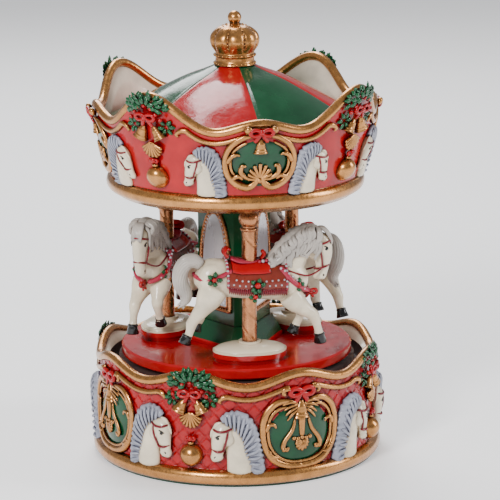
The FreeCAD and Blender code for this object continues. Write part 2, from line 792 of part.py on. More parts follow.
def pedestal(k):
    """Two-tier oval pedestal with a mound, and a socket for the pole."""
    tier = platform_top + pedestal_tier
    lower = oval_prism(pedestal_length - 2 * pedestal_step, pedestal_width - 2 * pedestal_step,
                       platform_top, tier + 0.1)
    upper = oval_prism(pedestal_length, pedestal_width, tier, pedestal_top)
    mound = Part.makeSphere(1.0, origin, up, 0, 90, 360)
    stretch = FreeCAD.Matrix()
    stretch.scale(pedestal_length / 2 - 0.5, pedestal_width / 2 - 0.5, mound_height - 0.6)
    mound = mound.transformGeometry(stretch)
    mound.translate(Vector(0, -horse_circle, pedestal_top - 0.02))
    collar = cylinder(pole_radius + 1.3, pedestal_top, mound_top, 0, -horse_circle)
    whole = fused([lower, upper, mound, collar])
    socket = pole_radius + glue_gap
    whole = whole.cut(cylinder(socket, mound_top - pole_socket_depth, mound_top + 1, 0,
                               -horse_circle))
    p = place_at(11, horse_circle + 1)
    whole = whole.cut(cylinder(0.9, platform_top - 1, platform_top + 2.6, p.x, p.y))
    return rest(turned(whole, k * horse_angle))


def pole(k):
    """Pole with a ball on its top."""
    foot = mound_top - pole_socket_depth
    shaft = cylinder(pole_radius, foot, ball_height, 0, -horse_circle)
    ball = Part.makeSphere(pole_ball_radius, Vector(0, -horse_circle, ball_height))
    return rest(turned(shaft.fuse(ball), k * horse_angle))


# ---- horse ----
def section(place, radii, tilt=0.0):
    """Closed oval across the horse: (along, across, up), (half height, half width), and the tilt
    of the way that it faces above level."""
    along, across, height = place
    tall, wide = radii
    edge = Part.Ellipse(origin, max(tall, wide), min(tall, wide)).toShape()
    if wide > tall:
        edge.rotate(origin, up, 90)
    edge.rotate(origin, Vector(0, 1, 0), 90)
    edge.rotate(origin, Vector(0, 1, 0), -tilt)
    edge.translate(Vector(along, across, height))
    return Part.Wire(edge)


def lofted(sections):
    """Smooth solid through ovals."""
    return Part.makeLoft([section(*s) for s in sections], True, False)


def leg(points, radii):
    """Leg through points (along, across, up) with a radius at each, and a hoof at the end."""
    sections = []
    for here, (point, radius) in enumerate(zip(points, radii)):
        before = Vector(*points[max(here - 1, 0)])
        after = Vector(*points[min(here + 1, len(points) - 1)])
        way = after.sub(before)
        tilt = math.degrees(math.atan2(way.z, way.x))
        sections.append((point, (radius, radius), tilt))
    limb = lofted(sections)
    ankle = Vector(*points[-1])
    way = ankle.sub(Vector(*points[-2])).normalize()
    hoof = Part.makeCone(radii[-1] + 0.15, hoof_radius + 0.3, 3.2, ankle.sub(way * 0.5), way)
    return limb.fuse(hoof)


def horse_body():
    """Leaping horse that faces +X, with the pole at the origin."""
    b = horse_back
    trunk = lofted([
        ((-20.4, 0, b + 3.6), (2.2, 2.4)), ((-18.0, 0, b + 2.6), (5.4, 5.2)),
        ((-12.5, 0, b + 1.6), (6.9, 6.4)), ((-4.0, 0, b - 0.4), (6.7, 6.3)),
        ((5.0, 0, b - 0.8), (7.2, 6.3)), ((13.0, 0, b - 0.6), (8.0, 6.0)),
        ((19.0, 0, b - 1.6), (5.6, 4.8)), ((21.4, 0, b - 2.4), (2.4, 2.4)),
    ])
    neck = lofted([
        ((10.0, 0, b + 1.0), (7.4, 4.8), 30), ((14.2, 0, b + 5.8), (6.8, 4.2), 42),
        ((18.0, 0, b + 10.6), (5.2, 3.5), 46), ((22.4, 0, b + 14.8), (4.0, 3.0), 20),
        ((25.6, 0, b + 14.6), (3.6, 2.8), -25),
    ])
    head = lofted([
        ((24.6, 0, b + 15.0), (3.4, 2.8), -78), ((26.6, 0, b + 10.6), (4.5, 3.2), -88),
        ((27.2, 0, b + 6.6), (3.7, 2.7), -94), ((26.4, 0, b + 2.6), (2.6, 2.1), -100),
        ((25.8, 0, b - 0.2), (2.1, 2.0), -100),
    ])
    ears = [Part.makeCone(1.1, 0.25, 4.2, Vector(25.4, way * 1.9, b + 14.6), Vector(0.75, 0, 1))
            for way in (-1, 1)]
    mane = lofted([
        ((7.6, 0, b + 3.0), (2.4, 2.6), 40), ((10.6, 0, b + 8.2), (3.4, 3.2), 50),
        ((15.0, 0, b + 13.4), (3.4, 3.2), 42), ((20.6, 0, b + 16.6), (2.8, 3.0), 14),
        ((25.6, 0, b + 17.4), (1.5, 1.8), -10),
    ])
    tail = lofted([
        ((-16.6, 0, b + 6.4), (1.8, 1.8), 160), ((-20.6, 0, b + 8.0), (2.1, 2.1), 180),
        ((-24.6, 0, b + 5.6), (2.6, 2.8), 235), ((-25.6, 0, b - 0.6), (3.0, 3.2), 268),
        ((-23.8, 0, b - 6.4), (2.4, 2.6), 280), ((-22.6, 0, b - 9.4), (0.7, 0.8), 290),
    ])
    fore_near = leg([(15.4, -3.6, b - 4), (19.6, -4.0, b - 9.6), (22.8, -4.0, b - 15.6),
                     (25.2, -4.0, b - 21.4)], (3.6, 2.5, 1.9, 1.7))
    fore_far = leg([(15.2, 3.6, b - 4), (20.2, 4.0, b - 8.8), (19.6, 4.2, b - 13.4),
                    (17.4, 4.2, b - 17.4)], (3.4, 2.5, 1.9, 1.6))
    hind_near = leg([(-13.2, -3.4, b - 0.6), (-16.0, -3.8, b - 6.6), (-20.2, -3.8, b - 12.0),
                     (-24.2, -3.8, b - 17.6)], (4.6, 3.2, 2.0, 1.7))
    hind_far = leg([(-12.4, 3.4, b - 0.6), (-14.2, 3.8, b - 6.6), (-17.0, 3.8, b - 11.8),
                    (-18.6, 3.8, b - 16.4)], (4.6, 3.2, 2.0, 1.7))
    whole = trunk
    for extra in [neck, head, mane, tail, fore_near, fore_far, hind_near, hind_far] + ears:
        whole = whole.fuse(extra)
    return whole


def horse(body, k):
    """The horse in its place on the carousel, bored for its pole."""
    placed = body.copy()
    placed.translate(Vector(0, -horse_circle, 0))
    bore = cylinder(pole_radius + glue_gap, horse_back - 20, horse_back + 20, 0, -horse_circle)
    return rest(turned(placed.cut(bore), k * horse_angle))


# ---- column ----
def corner_wire(corner, chamfer, height, shrink=0.0):
    """Three-cornered outline with cut corners, a corner at each horse's bearing."""
    points = []
    for k in range(horse_count):
        a = math.radians(k * horse_angle)
        out = Vector(math.sin(a), -math.cos(a), 0)
        side = Vector(math.cos(a), math.sin(a), 0)
        for way in (-1, 1):
            point = out * (corner - shrink) + side * (way * (chamfer / 2 - 0.58 * shrink))
            points.append(Vector(point.x, point.y, height))
    return Part.makePolygon(points + points[:1])


def face_distance():
    """From the column's middle to one of its broad faces."""
    tip = column_corner + column_chamfer / 2 * math.tan(math.radians(60))
    return tip * math.cos(math.radians(60))


def arch_plate(width, height, foot, thick, distance):
    """Upright plate with a round head, standing off the middle towards the front."""
    half = width / 2
    plate = box((-half, -distance - thick, foot), (half, -distance, foot + height - half))
    head = Part.makeCylinder(half, thick, Vector(0, -distance, foot + height - half),
                             Vector(0, -1, 0))
    return plate.fuse(head).removeSplitter()


def column():
    """Hollow three-cornered column on a flared plinth."""
    shaft = Part.Face(corner_wire(column_corner, column_chamfer, plinth_top - 0.1))
    shaft = shaft.extrude(Vector(0, 0, column_top - plinth_top + 0.1))
    foot_wires = [
        corner_wire(plinth_corner, plinth_chamfer, platform_top),
        corner_wire(plinth_corner, plinth_chamfer, platform_top + 1.2),
        corner_wire(column_corner + 0.8, column_chamfer + 0.4, plinth_top),
    ]
    plinth = Part.makeLoft(foot_wires, True, True)
    cap = column_top - column_cap
    hollow = Part.Face(corner_wire(column_corner, column_chamfer, plinth_top + 2, column_wall))
    hollow = hollow.extrude(Vector(0, 0, cap - plinth_top - 2))
    whole = fused([shaft, plinth]).cut(hollow)
    whole = whole.cut(cylinder(6.6, platform_top - 1, plinth_top + 3))
    for k in range(horse_count):
        p = place_at(k * horse_angle, column_corner - 2.4)
        whole = whole.cut(cylinder(0.9, platform_top - 1, platform_top + 6, p.x, p.y))
        q = place_at(k * horse_angle, column_corner - 6)
        whole = whole.cut(cylinder(0.9, cap - 1, column_top + 1, q.x, q.y))
    return rest(whole)


def mirror_frames():
    """Three arched frames, one on each broad face."""
    distance = face_distance()
    whole = arch_plate(mirror_width + 2 * frame_width, mirror_height + 2 * frame_width,
                       mirror_foot - frame_width, frame_thickness, distance)
    hole = arch_plate(mirror_width, mirror_height, mirror_foot, frame_thickness + 2, distance - 1)
    frame = whole.cut(hole)
    return [rest(turned(frame, (k + 0.5) * horse_angle)) for k in range(horse_count)]


def mirrors():
    """Three arched mirrors inside the frames."""
    plate = arch_plate(mirror_width - 0.1, mirror_height - 0.1, mirror_foot + 0.05,
                       mirror_thickness, face_distance())
    return [rest(turned(plate, (k + 0.5) * horse_angle)) for k in range(horse_count)]


# ---- canopy ----
def canopy_radius(height):
    """Outside radius of the canopy's decorated wall at a height."""
    share = (height - canopy_band_top) / (canopy_rim_height - canopy_band_top)
    return canopy_low_radius + (canopy_high_radius - canopy_low_radius) * share


def canopy_shell():
    """Flared decorated wall with a rolled band below and a waved rim above."""
    top = canopy_rim_height + canopy_rim_peaks + canopy_rim_ripple + rim_lip + 1
    outer = canopy_low_radius + canopy_band_proud
    middle = (canopy_bottom + canopy_band_top) / 2
    ledge = canopy_low_radius - canopy_wall
    body = revolved([
        (ledge - 1.2, canopy_bottom + 0.8),
        (outer - 2.2, canopy_bottom),
        (outer - 1.6, canopy_band_top, (outer, middle)),
        (canopy_low_radius, canopy_band_top + 0.3),
        (canopy_radius(top), top),
        (canopy_radius(top) - canopy_wall, top),
        (ledge, canopy_band_top),
        (ledge, disc_bottom - 0.02),
        (ledge - 1.2, disc_bottom - 0.02),
    ])
    body = body.cut(above_wave(40, 62, canopy_wave, top + 5))
    pieces = [body]
    pieces += bay_ornaments(
        canopy_radius,
        (27.0, 21.5, canopy_bottom + 19.2), (11.0, 16.0, canopy_bottom + 15.2),
        (15.0, 7.5, canopy_bottom + 32.6), (8.0, 7.0, canopy_bottom + 22.0), canopy_bottom + 12.7,
    )
    return rest(fused(pieces))


def canopy_disc():
    """Disc under the roof that carries the canopy on the column."""
    radius = canopy_low_radius - canopy_wall - fit_gap
    disc = cylinder(radius, disc_bottom, disc_top)
    for k in range(horse_count):
        q = place_at(k * horse_angle, column_corner - 6)
        disc = disc.cut(cylinder(1.0, disc_bottom - 1, disc_top + 1, q.x, q.y))
    return rest(disc)


def canopy_screws():
    """Screws down through the disc into the column."""
    found = []
    for k in range(horse_count):
        q = place_at(k * horse_angle, column_corner - 6)
        found.append(rest(pan_screw(2.0, 0.9, 9.0, q.x, q.y, disc_top, -1)))
    return found


def canopy_roof():
    """Tent roof, hollow below, with a seat for the crown."""
    edge = canopy_radius(roof_edge_height) - canopy_wall - fit_gap
    low = edge - 0.25 * roof_thickness
    rise = roof_top_height - roof_edge_height
    bend = (0.5 * edge, roof_edge_height + roof_bend * rise)
    under = (bend[0], bend[1] - roof_thickness)
    profile = [
        (2.0, roof_top_height),
        (roof_top_radius, roof_top_height),
        (edge, roof_edge_height, bend),
        (low, roof_edge_height - roof_thickness),
        (roof_top_radius, roof_top_height - roof_thickness, under),
        (2.0, roof_top_height - roof_thickness),
    ]
    return revolved(profile)


def crown():
    """Crown: a band, a bulb and a ball, with a stud into the roof."""
    band_top = roof_top_height + crown_band_height
    bulb_top = band_top + crown_bulb_height
    widest = band_top + 0.5 * crown_bulb_height
    neck = 2.2
    ball = bulb_top + crown_ball_radius - 0.6
    body = revolved([
        (0, roof_top_height - roof_thickness),
        (1.95, roof_top_height - roof_thickness),
        (1.95, roof_top_height),
        (crown_band_radius, roof_top_height),
        (crown_band_radius, band_top),
        (crown_band_radius - 0.5, band_top + 0.3),
        (neck, bulb_top, (crown_bulb_radius, widest)),
        (0, bulb_top),
    ])
    return body.fuse(Part.makeSphere(crown_ball_radius, Vector(0, 0, ball)))


# ---- build ----
def build_base():
    """Writes the pieces that stand still."""
    save("base_housing", base_housing())
    save("felt_ring", ring(band_radius - 1.8, foot_inner_radius, 0, foot_height))
    save("bottom_cover", bottom_cover())
    save("cover_screws", *[pan_screw(1.9, 0.8, cover_thickness + 7, x, y, cover_height)
                           for x, y in cover_posts()])
    save("bedplate", bedplate())
    save("bedplate_screws", *[pan_screw(1.7, 0.8, plate_thickness + 8, x, y, plate_height)
                              for x, y in plate_posts])
    save("click_spring", click_spring())
    save("barrel_bridge", barrel_bridge())
    save("bridge_screws", *bridge_screws())
    save("governor_bracket", governor_bracket())
    save("comb", comb())
    high = cylinder_height + comb_thickness / 2
    save("comb_screws", *[pan_screw(1.8, 0.9, 4.5, x, y, high, -1)
                          for x, y in comb_screw_places()])
    bush = ring(shaft_radius + 1.6, shaft_radius + running_gap, ceiling_height - 0.6,
                deck_height + platform_gap - 0.3)
    save("shaft_bush", bush)


def build_movement():
    """Writes the pieces of the movement that turn."""
    save("spring_barrel", spring_barrel())
    cap = ring(barrel_radius - barrel_wall, arbor_radius + running_gap, barrel_bottom,
               barrel_bottom + 1.0)
    save("barrel_cap", cap)
    save("mainspring", mainspring())
    save("drive_shaft", cylinder(shaft_radius, barrel_top, platform_top + 3.4))
    save("winding_arbor", winding_arbor())
    save("winding_key", winding_key())
    save("music_cylinder", music_cylinder())
    save("cylinder_arbor", cylinder_arbor())
    save("cylinder_pinion", cylinder_pinion())
    save("cylinder_wheel", cylinder_wheel())
    save("idler_arbor", along_x(pivot_radius, cylinder_end - 1.1, bracket_place + 1.1, idler_y,
                                cylinder_height))
    save("idler_pinion", idler_pinion())
    save("worm_wheel", worm_wheel())
    save("governor_worm", governor_worm())
    save("governor_fan", governor_fan())


def build_carousel():
    """Writes the pieces that turn with the platform."""
    save("platform", rest(platform()))
    save("column_screws", *[rest(s) for s in floor_screws(True)])
    save("pedestal_screws", *[rest(s) for s in floor_screws(False)])
    hexagon = Part.makePolygon([Vector(3.6 * math.cos(math.radians(60 * k)),
                                       3.6 * math.sin(math.radians(60 * k)), platform_top)
                                for k in range(7)])
    nut = Part.Face(hexagon).extrude(Vector(0, 0, 2.4))
    save("shaft_nut", nut.cut(cylinder(shaft_radius, platform_top - 1, platform_top + 4)))
    body = horse_body()
    for k in range(horse_count):
        save("pedestal_%d" % (k + 1), pedestal(k))
        save("pole_%d" % (k + 1), pole(k))
        save("horse_%d" % (k + 1), horse(body, k))
    save("column", column())
    for k, (frame, mirror) in enumerate(zip(mirror_frames(), mirrors())):
        save("mirror_frame_%d" % (k + 1), frame)
        save("mirror_%d" % (k + 1), mirror)
    save("canopy_disc", canopy_disc())
    save("canopy_screws", *canopy_screws())
    save("canopy_shell", canopy_shell())
    save("canopy_roof", canopy_roof())
    save("crown", crown())


os.makedirs("parts", exist_ok=True)
build_base()
build_movement()
build_carousel()
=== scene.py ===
import bpy
import json
import numpy as np
from mathutils import Matrix, Vector


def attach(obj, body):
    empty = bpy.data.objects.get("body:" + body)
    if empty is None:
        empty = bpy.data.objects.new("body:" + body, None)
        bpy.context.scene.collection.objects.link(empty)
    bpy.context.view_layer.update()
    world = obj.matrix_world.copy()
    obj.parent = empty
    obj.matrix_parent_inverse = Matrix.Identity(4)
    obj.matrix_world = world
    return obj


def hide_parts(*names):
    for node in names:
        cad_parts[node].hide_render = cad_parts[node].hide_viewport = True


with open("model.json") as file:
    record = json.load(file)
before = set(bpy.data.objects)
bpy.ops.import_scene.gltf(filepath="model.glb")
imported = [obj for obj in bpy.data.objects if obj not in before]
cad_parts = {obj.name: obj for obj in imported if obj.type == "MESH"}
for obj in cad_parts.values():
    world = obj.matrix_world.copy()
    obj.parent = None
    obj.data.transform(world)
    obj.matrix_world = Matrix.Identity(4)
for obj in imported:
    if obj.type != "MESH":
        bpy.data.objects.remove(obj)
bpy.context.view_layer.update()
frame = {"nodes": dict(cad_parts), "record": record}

mm = 0.001

# Lengths are millimetres. Angles are degrees, measured from -Y towards +X, but the camera's
# down, aside and roll are radians.
camera = dict(turn=-26.5, distance=1000.0, height=311.09, down=0.230495, aside=0.005311, roll=-0.004911,
    lens=195.9)
carousel = dict(turn=-16.5, horses=3, horseCircle=28.0)
base = dict(radius=52.0, foot=0.8, bandTop=5.8, bandProud=2.8, bandRound=1.6, rimMean=39.2, rimWave=2.1,
    waves=8, roll=1.75, rimInset=0.3, quilt=(5.83, 6.2), lip=50.9, well=48.3, inner=46.5, groove=44.6,
    deck=36.9, grooveFloor=31.5, ceiling=34.8, shaftHole=3.6, wall=2.1, bays=4)
canopy = dict(low=46.6, high=53.4, bottom=100.4, bandTop=107.2, bandProud=1.8, bandRaise=1.4, bandRound=2.0,
    skirt=1.2, rimMean=135.3, peaks=4.5, ripple=3.5, roll=1.75, rimInset=1.3, wall=3.1, disc=103.98)


# A mesh is (vertices, quads, triangles), as numpy arrays.
def spline(points, count, closed=False):
    # Catmull-Rom curve through the rows of points, evenly spaced in its parameter
    p = np.asarray(points, float)
    n = len(p)
    t = np.linspace(0, n, count, endpoint=False) if closed else np.linspace(0, n - 1, count)
    i = np.minimum(np.floor(t).astype(int), n - 1 if closed else n - 2)
    f = (t - i)[:, None]
    a, b, c, d = [p[(i + k) % n] if closed else p[np.clip(i + k, 0, n - 1)] for k in (-1, 0, 1, 2)]
    return 0.5 * (2 * b + (c - a) * f + (2 * a - 5 * b + 4 * c - d) * f**2 + (3 * b - a - 3 * c + d) * f**3)


def unit(v):
    # vectors divided by their lengths
    return v / np.maximum(np.linalg.norm(v, axis=-1, keepdims=True), 1e-9)


def gridMesh(points, closeRows=False, closeColumns=False):
    # rows x columns x 3 points to quads; rows and columns may close on themselves
    rows, cols = points.shape[:2]
    ids = np.arange(rows * cols).reshape(rows, cols)
    i = np.arange(rows if closeRows else rows - 1)[:, None]
    j = np.arange(cols if closeColumns else cols - 1)[None, :]
    a, b = ids[i, j], ids[i, (j + 1) % cols]
    c, d = ids[(i + 1) % rows, (j + 1) % cols], ids[(i + 1) % rows, j]
    quads = np.stack([a, b, c, d], -1).reshape(-1, 4)
    return points.reshape(-1, 3), quads, np.zeros((0, 3), int)


def ringCaps(mesh, rows, cols):
    # closes both ends of a grid whose columns go round, with a fan to the middle of the end ring
    verts, quads, _ = mesh
    j = np.arange(cols)
    low, high = len(verts), len(verts) + 1
    last = (rows - 1) * cols
    start = np.stack([np.full(cols, low), (j + 1) % cols, j], -1)
    end = np.stack([np.full(cols, high), last + j, last + (j + 1) % cols], -1)
    verts = np.vstack([verts, verts[:cols].mean(0), verts[last:last + cols].mean(0)])
    return verts, quads, np.vstack([start, end])


def sweep(path, radii, sides=12, closed=False, flat=1.0, out=(0, 0, 1), ripple=None):
    # tube: a ring of points round each point of a path. The ring is as wide as the radius across
    # the path and flat times that along out; ripple multiplies the radius by a rows x sides array
    path = np.asarray(path, float)
    radii = np.broadcast_to(np.asarray(radii, float), len(path))
    flat = np.broadcast_to(np.asarray(flat, float), len(path))
    if closed:
        tangent = np.roll(path, -1, 0) - np.roll(path, 1, 0)
    else:
        tangent = np.gradient(path, axis=0)
    tangent = unit(tangent)
    across = unit(np.cross(np.broadcast_to(np.asarray(out, float), path.shape), tangent))
    depth = np.cross(tangent, across)
    angle = np.linspace(0, 2 * np.pi, sides, endpoint=False)
    size = radii[:, None] * (1 if ripple is None else ripple)
    ring = (across[:, None] * (size * np.cos(angle))[..., None] + depth[:, None]
        * (size * np.sin(angle) * flat[:, None])[..., None])
    mesh = gridMesh(path[:, None] + ring, closeRows=closed, closeColumns=True)
    return mesh if closed else ringCaps(mesh, len(path), sides)


def limb(points, count=24, sides=14, flat=1.0, out=(0, 0, 1), ripple=None):
    # round-ended tube through rows of (a, b, c, radius) or (a, b, c, radius, flat)
    rows = spline(points, count)
    flat = rows[:, 4] if rows.shape[1] > 4 else flat
    along = np.linspace(0, 1, count)
    ends = np.clip(np.minimum(along, 1 - along) * count / 2.2, 0, 1)
    rounding = np.sqrt(1 - (1 - ends) ** 2)
    radii = rows[:, 3] * np.maximum(rounding, 0.05)
    return sweep(rows[:, :3], radii, sides, flat=flat, out=out, ripple=ripple)


def lathe(profile, segments=64, ripple=None):
    # (radius, height) rows turned about Z, bottom to top outside; ripple is a rows x segments array
    p = np.asarray(profile, float)
    angle = np.linspace(0, 2 * np.pi, segments, endpoint=False)
    r = np.maximum(p[:, :1], 1e-4) * (1 if ripple is None else ripple)
    z = np.broadcast_to(p[:, 1:2], (len(p), segments))
    points = np.stack([r * np.cos(angle), r * np.sin(angle), z], -1)
    return ringCaps(gridMesh(points, closeColumns=True), len(p), segments)


def ball(centre, radius, sides=12, squash=(1, 1, 1)):
    # sphere: a half circle turned about Z, stretched along each axis
    a = np.linspace(-np.pi / 2, np.pi / 2, max(sides // 2 + 2, 6))
    v, q, t = lathe(np.stack([radius * np.cos(a), radius * np.sin(a)], -1), sides)
    return v * np.asarray(squash) + np.asarray(centre, float), q, t


def joined(meshes):
    # one mesh of several, each with its face numbers shifted past the last
    verts, quads, tris, n = [], [], [], 0
    for v, q, t in meshes:
        verts.append(v)
        quads.append(q + n)
        tris.append(t + n)
        n += len(v)
    return np.vstack(verts), np.vstack(quads), np.vstack(tris)


def mirrored(mesh, signs=(-1, 1, 1)):
    # the sign of one coordinate changes, and the faces' order with it
    v, q, t = mesh
    return v * np.array(signs), q[:, ::-1], t[:, ::-1]


def moved(mesh, offset=(0, 0, 0), scale=1.0, turn=0.0):
    # turned in the a-b plane, scaled and moved
    v, q, t = mesh
    a = np.radians(turn)
    spin = np.array([[np.cos(a), np.sin(a), 0], [-np.sin(a), np.cos(a), 0], [0, 0, 1]])
    return (v * scale) @ spin + np.asarray(offset, float), q, t


def onWall(mesh, bearing, radiusAt):
    # bends (across, height, out) on to a round wall, at a bearing
    v, q, t = mesh
    r = radiusAt(v[:, 1])
    a = np.radians(bearing) + v[:, 0] / r
    r = r + v[:, 2]
    return np.stack([r * np.sin(a), -r * np.cos(a), v[:, 1]], -1), q, t


def onTangent(mesh, bearing, distance):
    # stands (along, up, out) on the circle at a bearing, without bending it
    v, q, t = mesh
    a = np.radians(bearing)
    along, out = np.array([np.cos(a), np.sin(a), 0]), np.array([np.sin(a), -np.cos(a), 0])
    return v[:, :1] * along + v[:, 1:2] * np.array([0, 0, 1]) + (v[:, 2:3] + distance) * out, q, t


def newMaterial(name):
    # a material with its node tree and shader
    material = bpy.data.materials.new(name)
    material.use_nodes = True
    tree = material.node_tree
    return material, tree, tree.nodes["Principled BSDF"]


def node(tree, kind, **inputs):
    # a new node with its sockets or settings given by name
    n = tree.nodes.new(kind)
    for key, value in inputs.items():
        if key in n.inputs:
            n.inputs[key].default_value = value
        else:
            setattr(n, key, value)
    return n


def noise(tree, scale, detail=3.0, stretch=(1, 1, 1)):
    # noise on object coordinates, which may be stretched
    coord = node(tree, "ShaderNodeTexCoord")
    mapping = node(tree, "ShaderNodeMapping")
    mapping.inputs["Scale"].default_value = stretch
    tree.links.new(coord.outputs["Object"], mapping.inputs["Vector"])
    made = node(tree, "ShaderNodeTexNoise", Scale=scale, Detail=detail)
    tree.links.new(mapping.outputs["Vector"], made.inputs["Vector"])
    return made.outputs["Fac"]


def ramp(tree, source, stops):
    # colours or grey levels at places along the source's value
    made = node(tree, "ShaderNodeValToRGB")
    while len(made.color_ramp.elements) < len(stops):
        made.color_ramp.elements.new(0.5)
    for element, (place, color) in zip(made.color_ramp.elements, stops):
        element.position = place
        element.color = (*np.broadcast_to(color, 3), 1)
    tree.links.new(source, made.inputs["Fac"])
    return made.outputs["Color"]


def tint(tree, shader, socket, source, *stops):
    # a ramp of the source drives a socket of the shader
    tree.links.new(ramp(tree, source, stops), shader.inputs[socket])


def mixed(tree, factor, first, second):
    # the first colour where the factor is 0, the second where it is 1
    made = node(tree, "ShaderNodeMix", data_type="RGBA")
    for socket, value in ((made.inputs["Factor"], factor), (made.inputs[6], first),
            (made.inputs[7], second)):
        if hasattr(value, "is_linked"):
            tree.links.new(value, socket)
        else:
            socket.default_value = value if not isinstance(value, tuple) else (*value, 1)
    return made.outputs[2]


def bump(tree, shader, source, strength, distance):
    # the source as a height that tilts the shader's normal
    made = node(tree, "ShaderNodeBump", Strength=strength, Distance=distance)
    tree.links.new(source, made.inputs["Height"])
    tree.links.new(made.outputs["Normal"], shader.inputs["Normal"])


def recess(tree, distance, low=0.35, high=0.85):
    # painted shade: a factor that is low where neighbouring surfaces are close, in the recesses, and high
    # on open surfaces
    made = node(tree, "ShaderNodeAmbientOcclusion", samples=6, Distance=distance)
    return ramp(tree, made.outputs["AO"], [(low, 0), (high, 1)])


# each finish's shade colour is painted shade, mixed in where neighbouring surfaces are close, within ao
# millimetres
finishes = dict(crimson=dict(color=(0.36, 0.001, 0.004), shade=(0.10, 0.0, 0.001), rough=0.2, coat=0.22,
        ao=2.2), crimsonFlat=dict(color=(0.38, 0.001, 0.004), shade=(0.20, 0.0005, 0.002), rough=0.15,
        coat=0.2, ao=4.0), rose=dict(color=(0.36, 0.022, 0.05), shade=(0.10, 0.002, 0.006), rough=0.26,
        coat=0.3, ao=1.2), green=dict(color=(0.002, 0.055, 0.018), shade=(0.0, 0.014, 0.005), rough=0.15,
        coat=0.22, ao=3.0), leaf=dict(color=(0.003, 0.075, 0.022), shade=(0.0, 0.006, 0.002), rough=0.2,
        coat=0.4, ao=1.4), cream=dict(color=(0.74, 0.64, 0.47), shade=(0.42, 0.29, 0.17), rough=0.24,
        coat=0.5, ao=2.4), ivory=dict(color=(0.70, 0.62, 0.49), shade=(0.34, 0.25, 0.17), rough=0.34,
        coat=0.3, ao=5.0), mane=dict(color=(0.40, 0.36, 0.32), shade=(0.07, 0.055, 0.05), rough=0.34,
        coat=0.3, ao=1.3), greyMane=dict(color=(0.30, 0.31, 0.37), shade=(0.05, 0.05, 0.085), rough=0.34,
        coat=0.3, ao=1.4), silver=dict(color=(0.45, 0.42, 0.44), shade=(0.14, 0.03, 0.04), rough=0.25,
        coat=0.3, ao=0.8), black=dict(color=(0.006, 0.006, 0.006), shade=(0.002, 0.002, 0.002), rough=0.16,
        coat=0.4, ao=1.5), blanket=dict(color=(0.17, 0.018, 0.008), shade=(0.04, 0.003, 0.002), rough=0.3,
        coat=0.3, ao=1.6), strap=dict(color=(0.16, 0.003, 0.010), shade=(0.05, 0.001, 0.003), rough=0.24,
        # the last finish, for the hollow inside of the base, is painted shade: a near black-brown
        coat=0.3, ao=0.8), insideShade=dict(color=(0.035, 0.012, 0.010), shade=(0.015, 0.006, 0.005), rough=0.5,
        coat=0.1, ao=3.0))


def lacquer(tree, shader, smooth, dull, coat):
    # patches of smoother and duller gloss under a clear coat, with fine orange peel
    tint(tree, shader, "Roughness", noise(tree, 420, 3), (0.3, smooth), (0.8, dull))
    shader.inputs["Specular IOR Level"].default_value = 0.3
    shader.inputs["Coat Weight"].default_value = coat
    shader.inputs["Coat Roughness"].default_value = 0.06
    bump(tree, shader, noise(tree, 520, 2), 0.12, 0.0004)


def paint(name):
    # lacquer: colour drifts a little, with painted shade in the recesses, brush streaks and orange peel
    f = finishes[name]
    material, tree, shader = newMaterial(name)
    # painted shade: the finish's shade colour where neighbouring surfaces are close
    paintedShade = recess(tree, f["ao"] * mm)
    drift = noise(tree, 160, 4)
    warm = tuple(min(1, c * 1.18 + 0.003) for c in f["color"])
    body = ramp(tree, drift, [(0.3, tuple(c * 0.88 for c in f["color"])), (0.7, warm)])
    tree.links.new(mixed(tree, paintedShade, f["shade"], body), shader.inputs["Base Color"])
    lacquer(tree, shader, f["rough"] * 0.8, f["rough"] * 1.6, f["coat"])
    return material


def goldPaint(name, bright, washAndShade, distance, shine, rough=0.24):
    # bronze paint: metallic, brown antiquing in the hollows, deepened by painted shade where neighbouring
    # surfaces are close
    material, tree, shader = newMaterial(name)
    # painted shade: the brown of the hollows, mixed in where neighbouring surfaces are close
    paintedShade = recess(tree, distance * mm, 0.40, 0.92)
    drift = noise(tree, 260, 5)
    body = ramp(tree, drift, [(0.25, tuple(c * 0.72 for c in bright)), (0.6, bright),
            (0.85, tuple(min(1, c * 1.2) for c in bright))])
    tree.links.new(mixed(tree, paintedShade, washAndShade, body), shader.inputs["Base Color"])
    tint(tree, shader, "Roughness", noise(tree, 700, 4), (0.3, rough * 0.8), (0.8, rough * 1.7))
    shader.inputs["Metallic"].default_value = shine
    shader.inputs["Coat Weight"].default_value = 0.35
    shader.inputs["Coat Roughness"].default_value = 0.12
    bump(tree, shader, noise(tree, 620, 2), 0.10, 0.0003)
    return material


def metal(name, color, rough, stretch=(1, 1, 1)):
    # bare metal: fine grain, drawn out along the stretch of its noise
    material, tree, shader = newMaterial(name)
    grain = noise(tree, 1500, 2, stretch)
    tint(tree, shader, "Base Color", grain, (0.3, [c * 0.85 for c in color]), (0.7, color))
    tint(tree, shader, "Roughness", grain, (0.2, rough * 0.7), (0.8, rough * 1.5))
    shader.inputs["Metallic"].default_value = 1.0
    bump(tree, shader, grain, 0.08, 0.0001)
    return material


def plain(name, color, rough, scale, strength=0.3, depth=0.0003, sheen=0.0):
    # moulded plastic, felt or board: one grain for colour, roughness and bump
    material, tree, shader = newMaterial(name)
    grain = noise(tree, scale, 4)
    tint(tree, shader, "Base Color", grain, (0.3, [c * 0.7 for c in color]), (0.7, color))
    tint(tree, shader, "Roughness", grain, (0.2, rough * 0.85), (0.8, min(1, rough * 1.15)))
    shader.inputs["Sheen Weight"].default_value = sheen
    bump(tree, shader, grain, strength, depth)
    return material


def mirrorGlass():
    # silvered glass, a little cloudy and streaked
    material, tree, shader = newMaterial("mirrorGlass")
    cloud = noise(tree, 90, 5, (1, 1, 0.4))
    tint(tree, shader, "Base Color", cloud, (0.3, (0.60, 0.59, 0.63)), (0.7, (0.82, 0.81, 0.84)))
    tint(tree, shader, "Roughness", cloud, (0.3, 0.34), (0.75, 0.22))
    shader.inputs["Metallic"].default_value = 0.55
    bump(tree, shader, cloud, 0.05, 0.0002)
    return material


